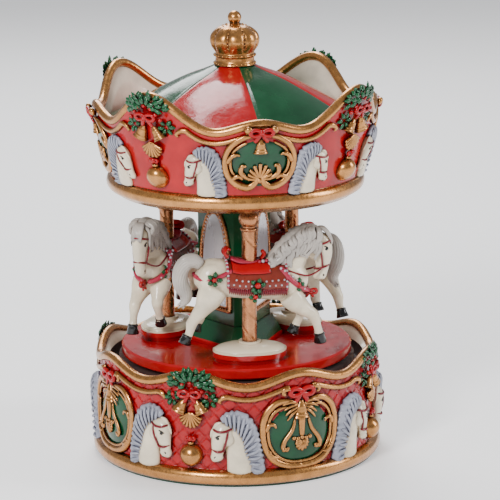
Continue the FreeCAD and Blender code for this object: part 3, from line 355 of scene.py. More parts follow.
def heightPaint(name, low, high, level):
    # two lacquers that meet at a painted line, a little uneven, at a height in millimetres
    material, tree, shader = newMaterial(name)
    coord = node(tree, "ShaderNodeTexCoord")
    split = node(tree, "ShaderNodeSeparateXYZ")
    tree.links.new(coord.outputs["Object"], split.inputs[0])
    wobble = node(tree, "ShaderNodeMath", operation="MULTIPLY_ADD")
    wobble.inputs[1].default_value = 0.0007
    tree.links.new(noise(tree, 150, 2), wobble.inputs[0])
    tree.links.new(split.outputs["Z"], wobble.inputs[2])
    above = node(tree, "ShaderNodeMath", operation="GREATER_THAN")
    above.inputs[1].default_value = (level + 0.35) * mm
    tree.links.new(wobble.outputs[0], above.inputs[0])
    # painted shade: each lacquer turns to its shade colour where neighbouring surfaces are close
    paintedShade = recess(tree, 2.5 * mm)
    bodies = [mixed(tree, paintedShade, finishes[f]["shade"], finishes[f]["color"]) for f in (low, high)]
    tree.links.new(mixed(tree, above.outputs[0], *bodies), shader.inputs["Base Color"])
    lacquer(tree, shader, 0.14, 0.30, 0.4)
    return material


print("materials")
materials = {name: paint(name) for name in finishes}
# the third colour is the brown of the hollows: antiquing, deepened by painted shade
materials["gold"] = goldPaint("bronzeGold", (0.56, 0.25, 0.07), (0.045, 0.011, 0.003), 1.8, 0.92)
materials["pedestalPaint"] = heightPaint("pedestalPaint", "crimsonFlat", "cream", 45.0)
materials["columnPaint"] = heightPaint("columnPaint", "crimsonFlat", "green", 43.6)
# the brown of the hollows again: antiquing, deepened by painted shade
materials["copper"] = goldPaint("copperGold", (0.56, 0.22, 0.085), (0.075, 0.017, 0.006), 1.2, 0.9)
materials["steel"] = metal("groundSteel", (0.52, 0.53, 0.55), 0.28, (1, 1, 9))
materials["zinc"] = metal("zincPlate", (0.66, 0.66, 0.62), 0.34)
materials["brass"] = metal("turnedBrass", (0.78, 0.56, 0.24), 0.26, (9, 1, 1))
materials["nylon"] = plain("nylon", (0.82, 0.80, 0.74), 0.45, 600, 0.15)
materials["felt"] = plain("felt", (0.012, 0.05, 0.025), 0.95, 2600, 0.8, 0.0004, 0.4)
materials["fibre"] = plain("fibreboard", (0.16, 0.11, 0.07), 0.8, 1900, 0.6)
materials["mirror"] = mirrorGlass()


# Meshes are gathered under a piece's name, then built as one object.
gathered = {}


def add(piece, finish, mesh):
    gathered.setdefault(piece, []).append((finish, mesh))


def addBays(piece, finish, mesh, radiusAt, turn):
    # the same ornament in every bay
    for bay in range(base["bays"]):
        add(piece, finish, onWall(mesh, turn + bay * 360.0 / base["bays"], radiusAt))


def build(piece, body, replaces=()):
    # one object of the gathered meshes, with a material slot for each finish
    names = []
    for finish, _ in gathered[piece]:
        if finish not in names:
            names.append(finish)
    verts, quads, tris = joined([mesh for _, mesh in gathered[piece]])
    which = [(names.index(f), len(m[1]), len(m[2])) for f, m in gathered[piece]]
    slots = np.concatenate([np.full(q, k) for k, q, _ in which] + [np.full(t, k) for k, _, t in which])
    mesh = bpy.data.meshes.new(piece)
    mesh.vertices.add(len(verts))
    mesh.vertices.foreach_set("co", (verts * mm).ravel())
    loops = np.concatenate([quads.ravel(), tris.ravel()])
    mesh.loops.add(len(loops))
    mesh.loops.foreach_set("vertex_index", loops.astype(np.int32))
    sizes = np.concatenate([np.full(len(quads), 4), np.full(len(tris), 3)])
    mesh.polygons.add(len(sizes))
    mesh.polygons.foreach_set("loop_start", np.concatenate([[0], np.cumsum(sizes)[:-1]]).astype(np.int32))
    mesh.polygons.foreach_set("material_index", slots.astype(np.int32))
    mesh.polygons.foreach_set("use_smooth", np.ones(len(sizes), bool))
    for name in names:
        mesh.materials.append(materials[name])
    mesh.update(calc_edges=True)
    mesh.validate()
    made = bpy.data.objects.new(piece, mesh)
    bpy.context.collection.objects.link(made)
    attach(made, body)
    if replaces:
        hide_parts(*replaces)
    return made


def baseWave(bearing):
    # height of the rim: its mean plus one cosine with eight waves round
    return base["rimMean"] + base["rimWave"] * np.cos(np.radians(base["waves"] * bearing))


def canopyWave(bearing):
    # four peaks round, and a ripple of twice as many waves that sharpens them
    a = np.radians(4 * bearing)
    return canopy["rimMean"] - canopy["peaks"] * np.cos(a) + canopy["ripple"] * np.cos(2 * a)


def baseRadius(height):
    # the base's wall is upright
    return np.full(np.shape(height), base["radius"])


def canopyRadius(height):
    # straight flare from the band to the rim
    share = (height - canopy["bandTop"]) / (canopy["rimMean"] - canopy["bandTop"])
    return canopy["low"] + (canopy["high"] - canopy["low"]) * share


def around(bearing, radius, height):
    # points at bearings: (radius times sine, minus radius times cosine, height)
    a = np.radians(bearing)
    shape = np.broadcast_shapes(np.shape(a), np.shape(radius), np.shape(height))
    return np.stack([np.broadcast_to(x, shape) for x in (radius * np.sin(a), -radius * np.cos(a), height)],
        -1)


def wallRing(bearings, radii, heights):
    # rows of points: each row is a ring of one (radius, height) that may vary with the bearing
    return np.stack([around(bearings, r, z) for r, z in zip(radii, heights)])


def quilted(across, height):
    # diamonds: a pillow between two families of slanting grooves
    width, tall = base["quilt"]
    a = across / width + height / tall
    b = across / width - height / tall
    groove = np.minimum(np.abs((a + 0.5) % 1 - 0.5), np.abs((b + 0.5) % 1 - 0.5)) * 2
    return np.minimum(groove * 5.0, 1.0) ** 0.6 * 0.6 - 0.6


def baseCasting():
    # one closed wall: rows of rings up the outside, over the rim, down the well and back inside
    bearings = np.arange(0, 360, 0.5)
    wave = baseWave(bearings)
    up = np.linspace(0, 1, 96)
    height = base["bandTop"] + 0.4 + up[:, None] * (wave - base["bandTop"] - 0.4)
    across = np.radians(bearings) * base["radius"]
    radius = base["radius"] + quilted(across[None, :], height)
    wall = around(bearings, radius, height)
    a = np.linspace(-np.pi / 2, np.pi / 2, 14)
    middle = (base["foot"] + base["bandTop"]) / 2
    half = (base["bandTop"] - base["foot"]) / 2
    edge = base["radius"] + base["bandProud"] - base["bandRound"]
    band = [(edge + base["bandRound"] * np.cos(x), middle + half * np.sin(x)) for x in a]
    band += [(base["radius"] + 0.9, base["bandTop"] + 0.15), (base["radius"] + 0.1, base["bandTop"] + 0.4)]
    bandRows = wallRing(bearings, *zip(*band))
    flare = base["rimMean"] - base["rimWave"] - 0.6
    s = np.linspace(0, 1, 12)
    creamR = [base["lip"] - (base["lip"] - base["well"]) * t ** 0.8 for t in s]
    creamZ = [wave - 0.2 - (wave - 0.2 - flare) * t ** 1.2 for t in s]
    cream = wallRing(bearings, creamR, creamZ)
    low, gutter = base["grooveFloor"], base["groove"] - base["wall"]
    inside = [(base["well"], flare), (base["well"], low), (base["groove"], low),
        (base["groove"], base["deck"]), (base["shaftHole"], base["deck"]),
        (base["shaftHole"], base["ceiling"]), (gutter, base["ceiling"]), (gutter, low - base["wall"]),
        (base["inner"], low - base["wall"]), (base["inner"], base["foot"]), (edge, base["foot"])]
    return bandRows, wall, cream, wallRing(bearings, *zip(*inside))


print("base")
bandRows, wallRows, creamRows, insideRows = baseCasting()
# the inside of the base, its well, groove, deck and underside, takes a near black-brown that is painted
# shade
for finish, rows in (("gold", bandRows), ("crimson", np.concatenate([bandRows[-1:], wallRows])),
        ("ivory", np.concatenate([wallRows[-1:], creamRows])), ("insideShade", insideRows)):
    add("base_casting", finish, gridMesh(rows, closeColumns=True))
bearings = np.arange(0, 360, 0.75)
rimPath = around(bearings, base["radius"] - base["rimInset"], baseWave(bearings))
add("base_rim", "gold", sweep(rimPath, base["roll"], 16, closed=True))
build("base_casting", "base", ["base_housing"])
build("base_rim", "base")

print("canopy")


def canopyCasting():
    # one closed wall, as the base: up the flare, over the rim, down inside and back under the band
    bearings = np.arange(0, 360, 0.5)
    wave = canopyWave(bearings)
    up = np.linspace(0, 1, 58)[:, None]
    height = canopy["bandTop"] + 0.3 + up * (wave - canopy["bandTop"] - 0.3)
    radius = canopyRadius(height)
    wall = around(bearings, radius, height)
    inner = radius[::-1] - canopy["wall"] * np.minimum(1, 0.4 + 3 * up)
    inside = around(bearings, inner, height[::-1])
    a = np.linspace(-np.pi / 2, np.pi / 2, 14)
    low = canopy["bottom"] + canopy["bandRaise"]
    middle = (low + canopy["bandTop"]) / 2
    half = (canopy["bandTop"] - low) / 2
    outer = canopy["low"] + canopy["bandProud"]
    edge, skirt = outer - canopy["bandRound"], canopy["skirt"]
    band = [(edge + canopy["bandRound"] * np.cos(x), middle + half * np.sin(x)) for x in a]
    band.append((canopy["low"] + 0.1, canopy["bandTop"] + 0.25))
    ledge = canopy["low"] - canopy["wall"]
    under = [(ledge, canopy["bandTop"]), (ledge, canopy["disc"]), (ledge - skirt, canopy["disc"]),
        (ledge - skirt, canopy["bottom"] + 0.8), (ledge + skirt, canopy["bottom"]), (edge, low)]
    return wallRing(bearings, *zip(*band)), wall, inside, wallRing(bearings, *zip(*under))


bandRows, wallRows, creamRows, underRows = canopyCasting()
for finish, rows in (("gold", bandRows), ("crimsonFlat", np.concatenate([bandRows[-1:], wallRows])),
        ("ivory", np.concatenate([wallRows[-1:], creamRows])), ("gold",
        np.concatenate([creamRows[-1:], underRows]))):
    add("canopy_casting", finish, moved(gridMesh(rows, closeColumns=True), turn=carousel["turn"]))
wave = canopyWave(bearings)
rimPath = around(bearings, canopyRadius(wave) - canopy["rimInset"], wave - 0.1)
add("canopy_rim", "gold", moved(sweep(rimPath, canopy["roll"], 16, closed=True), turn=carousel["turn"]))
build("canopy_casting", "carousel", ["canopy_shell"])
build("canopy_rim", "carousel")


# Raised ornaments are drawn as (across, height, out), before they are bent on to a wall.
print("ornaments")


def bell(length=6.4, width=3.0):
    # turned bell, mouth down, apex at the origin
    s = np.linspace(0, 1, 22)
    r = width * (0.18 + 0.42 * np.sin(np.minimum(s * 2.6, 1.57)) + 0.40 * s ** 4)
    r = r + 0.16 * (np.abs(s - 0.78) < 0.04) + 0.12 * (np.abs(s - 0.35) < 0.04)
    z = -length * s
    v, q, t = lathe(np.stack([np.append(r, [width * 0.86, 0.3]), np.append(z, [-length, -length * 0.9])],
            -1)[::-1], 26)
    return np.stack([v[:, 0], v[:, 2], v[:, 1] * 0.85], -1), q[:, ::-1], t[:, ::-1]


def bow(width=4.0, thick=0.75):
    # two loops, a knot and two tails
    loops = []
    a = np.linspace(0, 2 * np.pi, 26, endpoint=False)
    for way in (-1, 1):
        ring = np.stack([way * width * 0.5 * (1 - np.cos(a)), width * 0.34 * np.sin(a)
                * (0.4 + 0.6 * np.sin(a / 2)), 0.5 + 0.4 * np.sin(a / 2)], -1)
        loops.append(sweep(ring, thick, 8, closed=True, flat=1.3))
        loops.append(limb([(way * 0.3, -0.3, 0.6, thick), (way * width * 0.34, -width * 0.5, 0.5,
                thick * 1.1), (way * width * 0.6, -width * 0.95, 0.2, thick * 0.8)], 12, 8, 0.8))
    loops.append(ball((0, 0, 0.9), 1.15, 12))
    return joined(loops)


def leaf(length=3.4, width=1.15, curl=0.5):
    # pointed holly leaf along +across: three scallops a side, a raised spine, closed underneath
    s = np.linspace(0, 1, 13)
    edge = width * np.sin(np.pi * s) ** 0.7 * (0.72 + 0.28 * np.abs(np.cos(3 * np.pi * s)))
    across = np.array([-1, -0.5, 0, 0.5, 1, 0])
    lift = np.array([0.0, 0.22, 0.5, 0.22, 0.0, -0.25])
    x = np.broadcast_to(s[:, None] * length, (13, 6))
    y = edge[:, None] * across
    h = lift * np.minimum(edge, 0.8)[:, None] * 1.1 + curl * np.sin(np.pi * s)[:, None]
    return ringCaps(gridMesh(np.stack([x, y, h], -1), closeColumns=True), 13, 6)


def sprig(centre, count, reach, seed, size=3.2):
    # leaves fanned out from a middle, at mixed heights
    r = np.random.default_rng(seed)
    made = []
    for k in range(count):
        turn = 360 * k / count + r.uniform(-12, 12)
        one = leaf(size * r.uniform(0.85, 1.1), 1.0, r.uniform(0.3, 0.9))
        made.append(moved(one, (centre[0] + reach * np.cos(np.radians(turn)),
                centre[1] + reach * np.sin(np.radians(turn)), centre[2]), 1, turn))
    return joined(made)


def wreath(width, tall, seed):
    # crescent of leaves: an arc with leaves pointing out and down on both sides
    r = np.random.default_rng(seed)
    made = []
    for row, (share, lift) in enumerate(((1.0, 0.3), (0.62, 1.1), (0.25, 1.7))):
        for k in range(13 - row * 3):
            a = np.radians(-12 + 204 * (k + r.uniform(-0.2, 0.2)) / (12 - row * 3))
            place = (width * share * np.cos(a) * 0.72, tall * share * np.sin(a) * 0.55, lift)
            turn = np.degrees(a) + r.uniform(-25, 25)
            made.append(moved(leaf(r.uniform(3.0, 3.9), 1.15, r.uniform(0.2, 0.8)), place, 1, turn))
    return joined(made)


def fanShell(reach=6.2, lobes=9):
    # scallop: ridges spread from an apex at the origin, downwards
    made = []
    for k in range(lobes):
        a = np.radians(-90 + 118 * (k / (lobes - 1) - 0.5))
        tip = reach * (0.86 + 0.14 * np.cos(2 * (a + np.pi / 2)))
        c, s = np.cos(a), np.sin(a)
        made.append(limb([(0, 0, 0.9, 0.35), (c * tip * 0.5, s * tip * 0.5, 0.9, 0.52),
                (c * tip, s * tip, 0.5, 0.78)], 12, 8, 1.1))
    return joined(made)


def horseHead(size=1.0, foot=5.0):
    # head and arched neck beside a medallion, face away from it; foot is the height of the neck's foot
    def place(rows):
        rows = np.asarray(rows, float).copy()
        rows[:, 1] = foot + (rows[:, 1] - 5.0) * size
        rows[:, 0] = 16.0 * size + (rows[:, 0] - 16.0) * size
        rows[:, 2:4] *= size
        return rows
    cream = [limb(place([(22.8, 4.6, 0.2, 5.0), (22.9, 10, 0.2, 4.9), (24.0, 15.5, 0.3, 4.5),
            (26.3, 20.5, 0.4, 3.9), (28.2, 22.6, 0.5, 2.6)]), 24, 16, 0.5),
        limb(place([(27.6, 24.0, 0.8, 2.4), (29.0, 20.8, 1.2, 3.9), (30.3, 17.0, 1.5, 3.0),
            (31.0, 13.2, 1.5, 2.1), (31.2, 11.4, 1.5, 2.3), (31.0, 10.0, 1.3, 1.6)]), 32, 18, 0.72),
        limb(place([(26.8, 20.8, 1.4, 1.4), (27.4, 18.4, 1.9, 2.6), (28.4, 16.2, 1.6, 1.4)]), 14, 12, 0.8),
        ball(place([(31.4, 11.2, 2.4, 0)])[0, :3], 0.9 * size, 10),
        limb(place([(26.6, 24.4, 1.4, 1.0), (25.9, 26.2, 1.6, 0.8), (25.6, 27.6, 1.6, 0.2)]), 10, 8, 0.6)]
    for k in range(4):
        cream.append(limb(place([(29.2 + k * 0.5, 24.6 - k * 0.3, 1.8, 0.5),
                (31.2 + k * 0.5, 24.0 - k * 0.9, 1.8, 0.7), (32.6 + k * 0.25, 21.8 - k * 1.1, 1.3, 0.25)]),
                10, 7, 0.8))
    crest = place([(29.4, 24.8, 0.9, 1.4), (26.6, 26.3, 0.9, 2.2), (22.9, 25.4, 0.8, 2.9),
            (20.0, 21.4, 0.7, 3.0), (18.5, 15.8, 0.6, 2.9), (17.4, 10.2, 0.5, 2.8), (16.6, 4.8, 0.4, 2.7)])
    rows = np.linspace(0, 1, 84)[:, None]
    side = np.linspace(0, 2 * np.pi, 20, endpoint=False)[None, :]
    strands = 0.20 * np.abs(np.sin(np.pi * 15 * rows + 2.2 * np.cos(side) + 0.8 * np.sin(9 * rows)))
    hairs = 0.06 * np.sin(np.pi * 37 * rows + 2.6 * np.cos(side))
    lock = 0.94 + strands + hairs
    mane = [limb(crest, 84, 20, 0.72, ripple=lock)]
    spine = spline(crest, 30)
    for k in range(3, 28, 2):
        a, b, c, r = spine[k]
        inward = unit(np.array([24.6 * size - a, foot + 9 * size - b]))
        mane.append(limb([(a - inward[0] * r * 0.6, b - inward[1] * r * 0.6 + 0.6, c + r * 0.62,
                0.42 * size), (a, b - 0.3, c + r * 0.86, 0.62 * size),
                (a + inward[0] * r * 0.8, b + inward[1] * r * 0.8 - 1.3, c + r * 0.62, 0.5 * size),
                (a + inward[0] * r * 1.3, b + inward[1] * r * 1.3 - 2.4, c + r * 0.25, 0.2 * size)], 14, 7))
    strap = [limb(place([(25.7, 22.6, 2.4, 0.42), (27.6, 22.0, 3.6, 0.46), (29.2, 21.7, 4.0, 0.46),
            (31.0, 21.8, 3.6, 0.46), (32.6, 22.4, 2.2, 0.36)]), 18, 8),
        limb(place([(28.2, 14.5, 2.4, 0.40), (29.6, 14.0, 3.3, 0.44), (31.2, 14.0, 3.3, 0.44),
            (33.0, 14.7, 1.9, 0.34)]), 16, 8), limb(place([(27.2, 22.0, 3.2, 0.40),
            (27.4, 20.0, 3.75, 0.42), (27.9, 17.6, 3.75, 0.42), (28.8, 14.4, 2.9, 0.38)]), 18, 8)]
    black = [limb(place([(29.6, 20.4, 3.95, 0.16), (30.6, 20.0, 3.95, 0.3), (31.7, 19.2, 3.5, 0.16)]), 12,
            7, 0.7), ball(place([(30.6, 19.2, 3.75, 0)])[0, :3], 0.62 * size, 10, (1, 1, 0.6)),
        limb(place([(31.3, 12.2, 3.0, 0.15), (31.8, 11.6, 3.0, 0.34), (31.7, 10.9, 2.7, 0.14)]), 8, 6, 0.7),
        limb(place([(29.6, 9.9, 2.3, 0.12), (30.7, 10.0, 2.6, 0.2), (31.8, 10.2, 2.0, 0.12)]), 8, 6, 0.7)]
    return dict(cream=joined(cream), greyMane=joined(mane), strap=joined(strap), black=joined(black))


def flattened(parts, share):
    # lower relief, so that the medallions stay inside the foot band's radius
    return {finish: (v * np.array([1, 1, share]), q, t) for finish, (v, q, t) in parts.items()}


def sided(way, rows):
    # a strand's rows, on one side of the medallion or the other
    return np.asarray(rows, float) * ([way] + [1] * (len(rows[0]) - 1))


def baseMedallion():
    # oval scrollwork in pairs round a green field, a palmette, a bell and a bow
    gold = []
    for way in (-1, 1):
        outer = sided(way, [(1.2, 29.2, 1.0, 0.7), (4.4, 31.2, 1.1, 0.9), (9.4, 31.0, 1.2, 1.15),
                (13.4, 27.3, 1.2, 1.25), (14.9, 21.0, 1.2, 1.25), (13.9, 14.2, 1.2, 1.25),
                (10.2, 9.1, 1.2, 1.3), (5.2, 6.8, 1.2, 1.3), (-0.6, 6.3, 1.2, 1.3)])
        gold.append(limb(outer, 64, 12, 0.95))
        gold.append(limb(sided(way, [(3.0, 28.6, 1.0, 0.4), (8.0, 29.0, 1.1, 0.6), (11.8, 25.8, 1.0, 0.6),
                (12.9, 20.6, 1.0, 0.6), (12.0, 14.8, 1.0, 0.6), (8.8, 10.3, 1.0, 0.6), (4.4, 8.4, 1.0, 0.6),
                (-0.4, 8.0, 1.0, 0.6)]), 56, 8, 0.9))
        for k in range(4):
            gold.append(limb(sided(way, [(1.6, 30.6 - k * 0.9, 1.5, 0.35),
                    (4.6 - 0.3 * k, 31.0 - k * 1.5, 1.9, 0.55), (7.6 - 0.6 * k, 30.0 - k * 2.0, 1.5,
                    0.25)]), 14, 8))
        gold.append(limb(sided(way, [(2.6, 24.7, 1.6, 0.45), (3.9, 20.4, 1.9, 0.75), (6.7, 16.6, 1.9, 0.85),
                (7.4, 14.0, 1.9, 0.9), (5.9, 13.0, 1.8, 0.7), (5.4, 14.2, 1.9, 0.5)]), 30, 9))
        gold.append(limb(sided(way, [(13.6, 20.4, 1.4, 0.9), (12.6, 22.9, 1.7, 0.8), (10.7, 23.0, 1.7, 0.6),
                (9.9, 21.6, 1.6, 0.35)]), 20, 9))
        gold.append(ball((way * 12.6, 12.4, 1.6), 1.1, 10))
        gold.append(limb(sided(way, [(12.8, 12.6, 1.8, 0.5), (10.9, 10.6, 1.9, 0.8),
                (8.8, 10.6, 1.5, 0.3)]), 12, 8))
        gold.append(ball((way * 7.0, 13.4, 2.1), 1.0, 10))
        gold.append(limb(sided(way, [(4.4, 35.8, 1.8, 0.8), (6.6, 35.9, 1.7, 0.9), (7.2, 34.4, 1.6, 0.7),
                (6.0, 33.9, 1.7, 0.5)]), 16, 8))
    gold.append(limb([(0, 25.5, 1.4, 1.5), (0, 21.5, 1.5, 1.3), (0, 17.5, 1.6, 0.9)], 14, 10))
    for k in range(9):
        a = np.radians(-90 + 26 * (k - 4))
        c, s = np.cos(a), np.sin(a)
        reach = 3.6 - 0.25 * abs(k - 4)
        gold.append(limb([(0, 15.6, 1.8, 0.5), (c * reach * 0.55, 15.6 + s * reach * 0.55, 2.2, 0.75),
                (c * reach, 15.6 + s * reach, 1.6, 0.45)], 10, 8))
    for k in range(5):
        gold.append(ball((-3.2 + 1.6 * k, 17.2 - 0.3 * (k % 2), 1.9), 0.85, 8))
    gold.append(moved(bell(6.6, 3.3), (0, 31.3, 1.1)))
    field = ball((0, 18.9, -0.9), 1.0, 48, (13.4, 11.9, 2.3))
    return flattened(dict(gold=joined(gold), green=field, crimson=moved(bow(4.6, 0.95), (0, 34.6, 1.1))),
        0.69)


def canopyMedallion():
    # as the base's, with the palmette upright and a ball at each side of the bow
    gold = []
    for way in (-1, 1):
        gold.append(limb(sided(way, [(2.6, 130.2, 1.2, 0.7), (6.4, 129.3, 1.2, 1.0),
                (10.6, 126.2, 1.2, 1.15), (12.4, 121.2, 1.2, 1.15), (11.7, 116.2, 1.2, 1.2),
                (8.4, 112.2, 1.3, 1.3), (4.2, 110.6, 1.4, 1.4), (1.6, 112.4, 1.6, 1.1),
                (0.9, 115.0, 1.7, 0.7)]), 60, 12, 0.95))
        gold.append(limb(sided(way, [(4.8, 127.7, 1.0, 0.4), (8.9, 125.0, 1.0, 0.6),
                (10.5, 120.9, 1.0, 0.6), (9.9, 116.9, 1.0, 0.6), (7.3, 113.9, 1.1, 0.45)]), 36, 8, 0.9))
        gold.append(limb(sided(way, [(11.6, 119.6, 1.5, 0.8), (10.4, 122.2, 1.8, 0.9),
                (8.4, 123.2, 1.7, 0.6), (7.2, 122.6, 1.4, 0.3)]), 18, 9))
        gold.append(ball((way * 9.2, 123.0, 1.6), 0.95, 10))
        gold.append(limb(sided(way, [(1.4, 114.6, 1.6, 0.5), (4.2, 114.2, 1.9, 0.7), (6.6, 116.4, 1.9, 0.9),
                (6.3, 118.8, 1.8, 0.8), (4.9, 118.6, 1.8, 0.5)]), 26, 9))
        gold.append(limb(sided(way, [(10.2, 113.4, 1.6, 0.8), (7.6, 115.0, 1.7, 0.9),
                (5.9, 113.6, 1.6, 0.4)]), 16, 9))
        gold.append(ball((way * 12.2, 116.6, 1.4), 0.8, 9))
        gold.append(ball((way * 4.6, 132.4, 2.0), 1.5, 12))
    for k in range(9):
        a = np.radians(90 + 21 * (k - 4))
        c, s = np.cos(a), np.sin(a)
        reach = 6.2 - 0.34 * abs(k - 4) ** 1.3
        gold.append(limb([(0, 113.6, 1.6, 0.4), (c * reach * 0.6, 113.6 + s * reach * 0.6, 2.1, 0.6),
                (c * reach, 113.6 + s * reach, 1.7, 0.75)], 12, 8))
    gold.append(ball((0, 113.2, 1.7), 1.1, 10))
    gold.append(moved(bell(5.4, 2.7), (0, 129.0, 1.2)))
    field = ball((0, 119.6, -0.9), 1.0, 44, (11.6, 9.6, 2.2))
    return flattened(dict(gold=joined(gold), green=field, crimson=moved(bow(3.9, 0.75), (0, 131.4, 1.9))),
        0.84)


def garland(leafHeight, bowHeight, bellHeight, shellHeight, ballHeight, width, seed):
    # a hanging string: holly wreath and bow, two bells, a shell and a ball
    gold = [moved(bell(5.6, 2.9), (way * 1.9, bellHeight + 2.4, 1.3), 1, way * 27) for way in (-1, 1)]
    gold.append(moved(fanShell(), (0, shellHeight + 4.4, 0.6)))
    gold.append(ball((0, ballHeight, 0.2), 4.3, 30))
    gold.append(limb([(0, ballHeight + 4.0, 1.0, 1.2), (0, ballHeight + 5.2, 1.0, 1.2)], 8, 12))
    green = [moved(wreath(width, width * 0.62, seed), (0, leafHeight, 0.6)),
        sprig((-width * 0.82, bellHeight + 2.0, 0.5), 6, 0.6, seed + 1, 3.0),
        sprig((width * 0.82, bellHeight + 2.0, 0.5), 6, 0.6, seed + 2, 3.0)]
    red = [moved(bow(3.8, 0.72), (0, bowHeight, 1.7)), moved(bow(1.7, 0.5), (0, ballHeight + 6.4, 0.8))]
    for x, y in ((-4.2, 1.6), (4.4, 1.2), (-2.6, 3.4), (2.8, 3.2), (0.2, 4.2), (-6.2, -0.4), (6.1, -0.6)):
        red.append(ball((x, bowHeight + y, 2.4), 0.78, 9))
    return dict(gold=joined(gold), leaf=joined(green), crimson=joined(red))


def moulding(waveAt, radius, drop, start, reach, thick):
    # second moulding under the rim, from the medallion's bow to a scroll by the garland
    s = np.linspace(start, reach, 40)
    v = waveAt(np.degrees(s / radius)) - drop
    rows = np.stack([s, v, np.full(40, 0.5), np.full(40, thick)], -1)
    last = rows[-1]
    curl = [(last[0] + 2.0, last[1] - 0.1, 0.7, thick * 1.05),
        (last[0] + 3.4, last[1] - 1.5, 0.7, thick * 0.8), (last[0] + 2.4, last[1] - 2.5, 0.6, thick * 0.4)]
    return limb(np.vstack([rows, curl]), 90, 10, 0.85)


wallOrnaments = dict(base=dict(body="base", radiusAt=baseRadius, turn=0.0, waveAt=baseWave,
        heads=(1.0, 5.0), moulding=(base["radius"], 4.3, 4.5, 27, 1.0), medallion=baseMedallion,
        garland=dict(leafHeight=38.6, bowHeight=35.0, bellHeight=30.6, shellHeight=23.4, ballHeight=11.6,
        width=8.6, seed=3)), canopy=dict(body="carousel", radiusAt=canopyRadius, turn=carousel["turn"],
        waveAt=canopyWave, heads=(0.80, 107.0), moulding=(52.5, 3.9, 3.5, 27, 0.95),
        medallion=canopyMedallion, garland=dict(leafHeight=139.6, bowHeight=136.0, bellHeight=130.4,
        shellHeight=122.0, ballHeight=113.0, width=8.4, seed=13)))
for wall, w in wallOrnaments.items():
    heads, edging = horseHead(*w["heads"]), moulding(w["waveAt"], *w["moulding"])
    for kind, middle, parts in (("horse_heads", 0, heads), ("horse_heads", 0,
            {k: mirrored(m) for k, m in heads.items()}), ("moulding", 0, dict(gold=edging)),
            ("moulding", 0, dict(gold=mirrored(edging))), ("medallions", 0, w["medallion"]()),
            ("garlands", 45, garland(**w["garland"]))):
        for finish, mesh in parts.items():
            addBays(wall + "_" + kind, finish, mesh, w["radiusAt"], w["turn"] + middle)
    for kind in ("horse_heads", "moulding", "medallions", "garlands"):
        build(wall + "_" + kind, w["body"])


print("roof and crown")
roof = dict(panels=6, first=-14.0, thick=2.2, seam=0.35)
crown = dict(ribs=8, beads=26, bead=0.5, beadRadius=7.55, beadHeights=(148.15, 151.1), ball=2.6,
    ballHeight=164.9)


def roofPanels():
    # six panels: a slope curve carried round, sunk a little at each painted seam
    slope = spline([(7.3, 147.45), (12, 145.5), (19.7, 142.5), (31, 136.8), (42, 130.5), (48.4, 127.2)], 40)
    for k in range(roof["panels"]):
        a = np.linspace(0, 60, 41)
        seam = -roof["seam"] * np.exp(-np.minimum(a, 60 - a) ** 2 / 1.2)
        bearings = roof["first"] + 60 * k + a
        z = slope[:, 1:2] + seam * np.minimum(1, slope[:, :1] / 20)
        top = around(bearings, slope[:, :1], z)
        under = top[::-1] - np.array([0, 0, roof["thick"]])
        add("roof_panels", "green" if k % 2 == 0 else "crimsonFlat",
            gridMesh(np.concatenate([top, under]), closeRows=True))


def crownMetal():
    # turned profile, pinched between ribs where a sine of the angle is small, with beads on the bands
    a = np.linspace(0, 2 * np.pi, 96, endpoint=False)
    profile = spline([(1.9, 145.2), (2.0, 147.3), (7.1, 147.4), (7.5, 148.2), (7.1, 149.0), (7.1, 150.4),
            (7.5, 151.1), (7.1, 151.8), (7.3, 152.6), (8.5, 154.4), (9.0, 156.8), (8.3, 159.2),
            (6.0, 161.3), (3.2, 162.3), (2.0, 162.9), (1.7, 163.4)], 110)
    dome = np.clip((profile[:, 1:2] - 152.2) / 2, 0, 1) * np.clip((162.6 - profile[:, 1:2]) / 2, 0, 1)
    rib = 1.03 - dome * 0.15 * (1 - np.abs(np.sin(crown["ribs"] / 2 * a[None, :])) ** 0.45)
    add("crown_casting", "gold", lathe(profile, 96, rib))
    add("crown_casting", "gold", ball((0, 0, crown["ballHeight"]), crown["ball"], 20))

    def ringOfBeads(count, r, z):
        for t in 2 * np.pi * np.arange(count) / count:
            add("crown_casting", "gold", ball((r * np.cos(t), r * np.sin(t), z), crown["bead"], 7))

    for z in crown["beadHeights"]:
        ringOfBeads(crown["beads"], crown["beadRadius"], z)
    arc = spline([(7.5, 153.0), (8.8, 155.0), (9.1, 157.0), (8.3, 159.3), (6.1, 161.2), (3.6, 162.2)], 9)
    for r, z in arc:
        ringOfBeads(crown["ribs"], r * 0.9, z)


roofPanels()
crownMetal()
build("roof_panels", "carousel", ["canopy_roof"])
build("crown_casting", "carousel", ["crown"])

pole = dict(foot=43.1, radius=2.72, ballRadius=3.8, ballHeight=94.8, grooves=2, pitch=9.0)
frames = dict(half=7.7, low=56.2, spring=71.0, top=93.0, rim=0.75, bead=0.52, beads=62, stand=9.85)


def twistedPole(k):
    # rod with spiral grooves: the radius dips where the angle meets the turning groove line
    z = np.linspace(pole["foot"], pole["ballHeight"] - 2.6, 190)
    a = np.linspace(0, 2 * np.pi, 40, endpoint=False)
    phase = (pole["grooves"] * a[None, :] / (2 * np.pi) + z[:, None] / pole["pitch"]) % 1
    near = np.minimum(phase, 1 - phase)
    ridge = 1 - 0.085 * np.exp(-(near / 0.05) ** 2) + 0.02 * np.cos(2 * np.pi * phase)
    shaft = lathe(np.stack([np.full(190, pole["radius"]), z], -1), 40, ridge)
    knob = ball((0, 0, pole["ballHeight"]), pole["ballRadius"], 36)
    collar = lathe([(3.1, pole["ballHeight"] - 4.4), (3.35, pole["ballHeight"] - 3.9),
            (3.1, pole["ballHeight"] - 3.3)], 32)
    return moved(joined([shaft, knob, collar]), around(carousel["turn"] + 120 * k, carousel["horseCircle"],
            0))


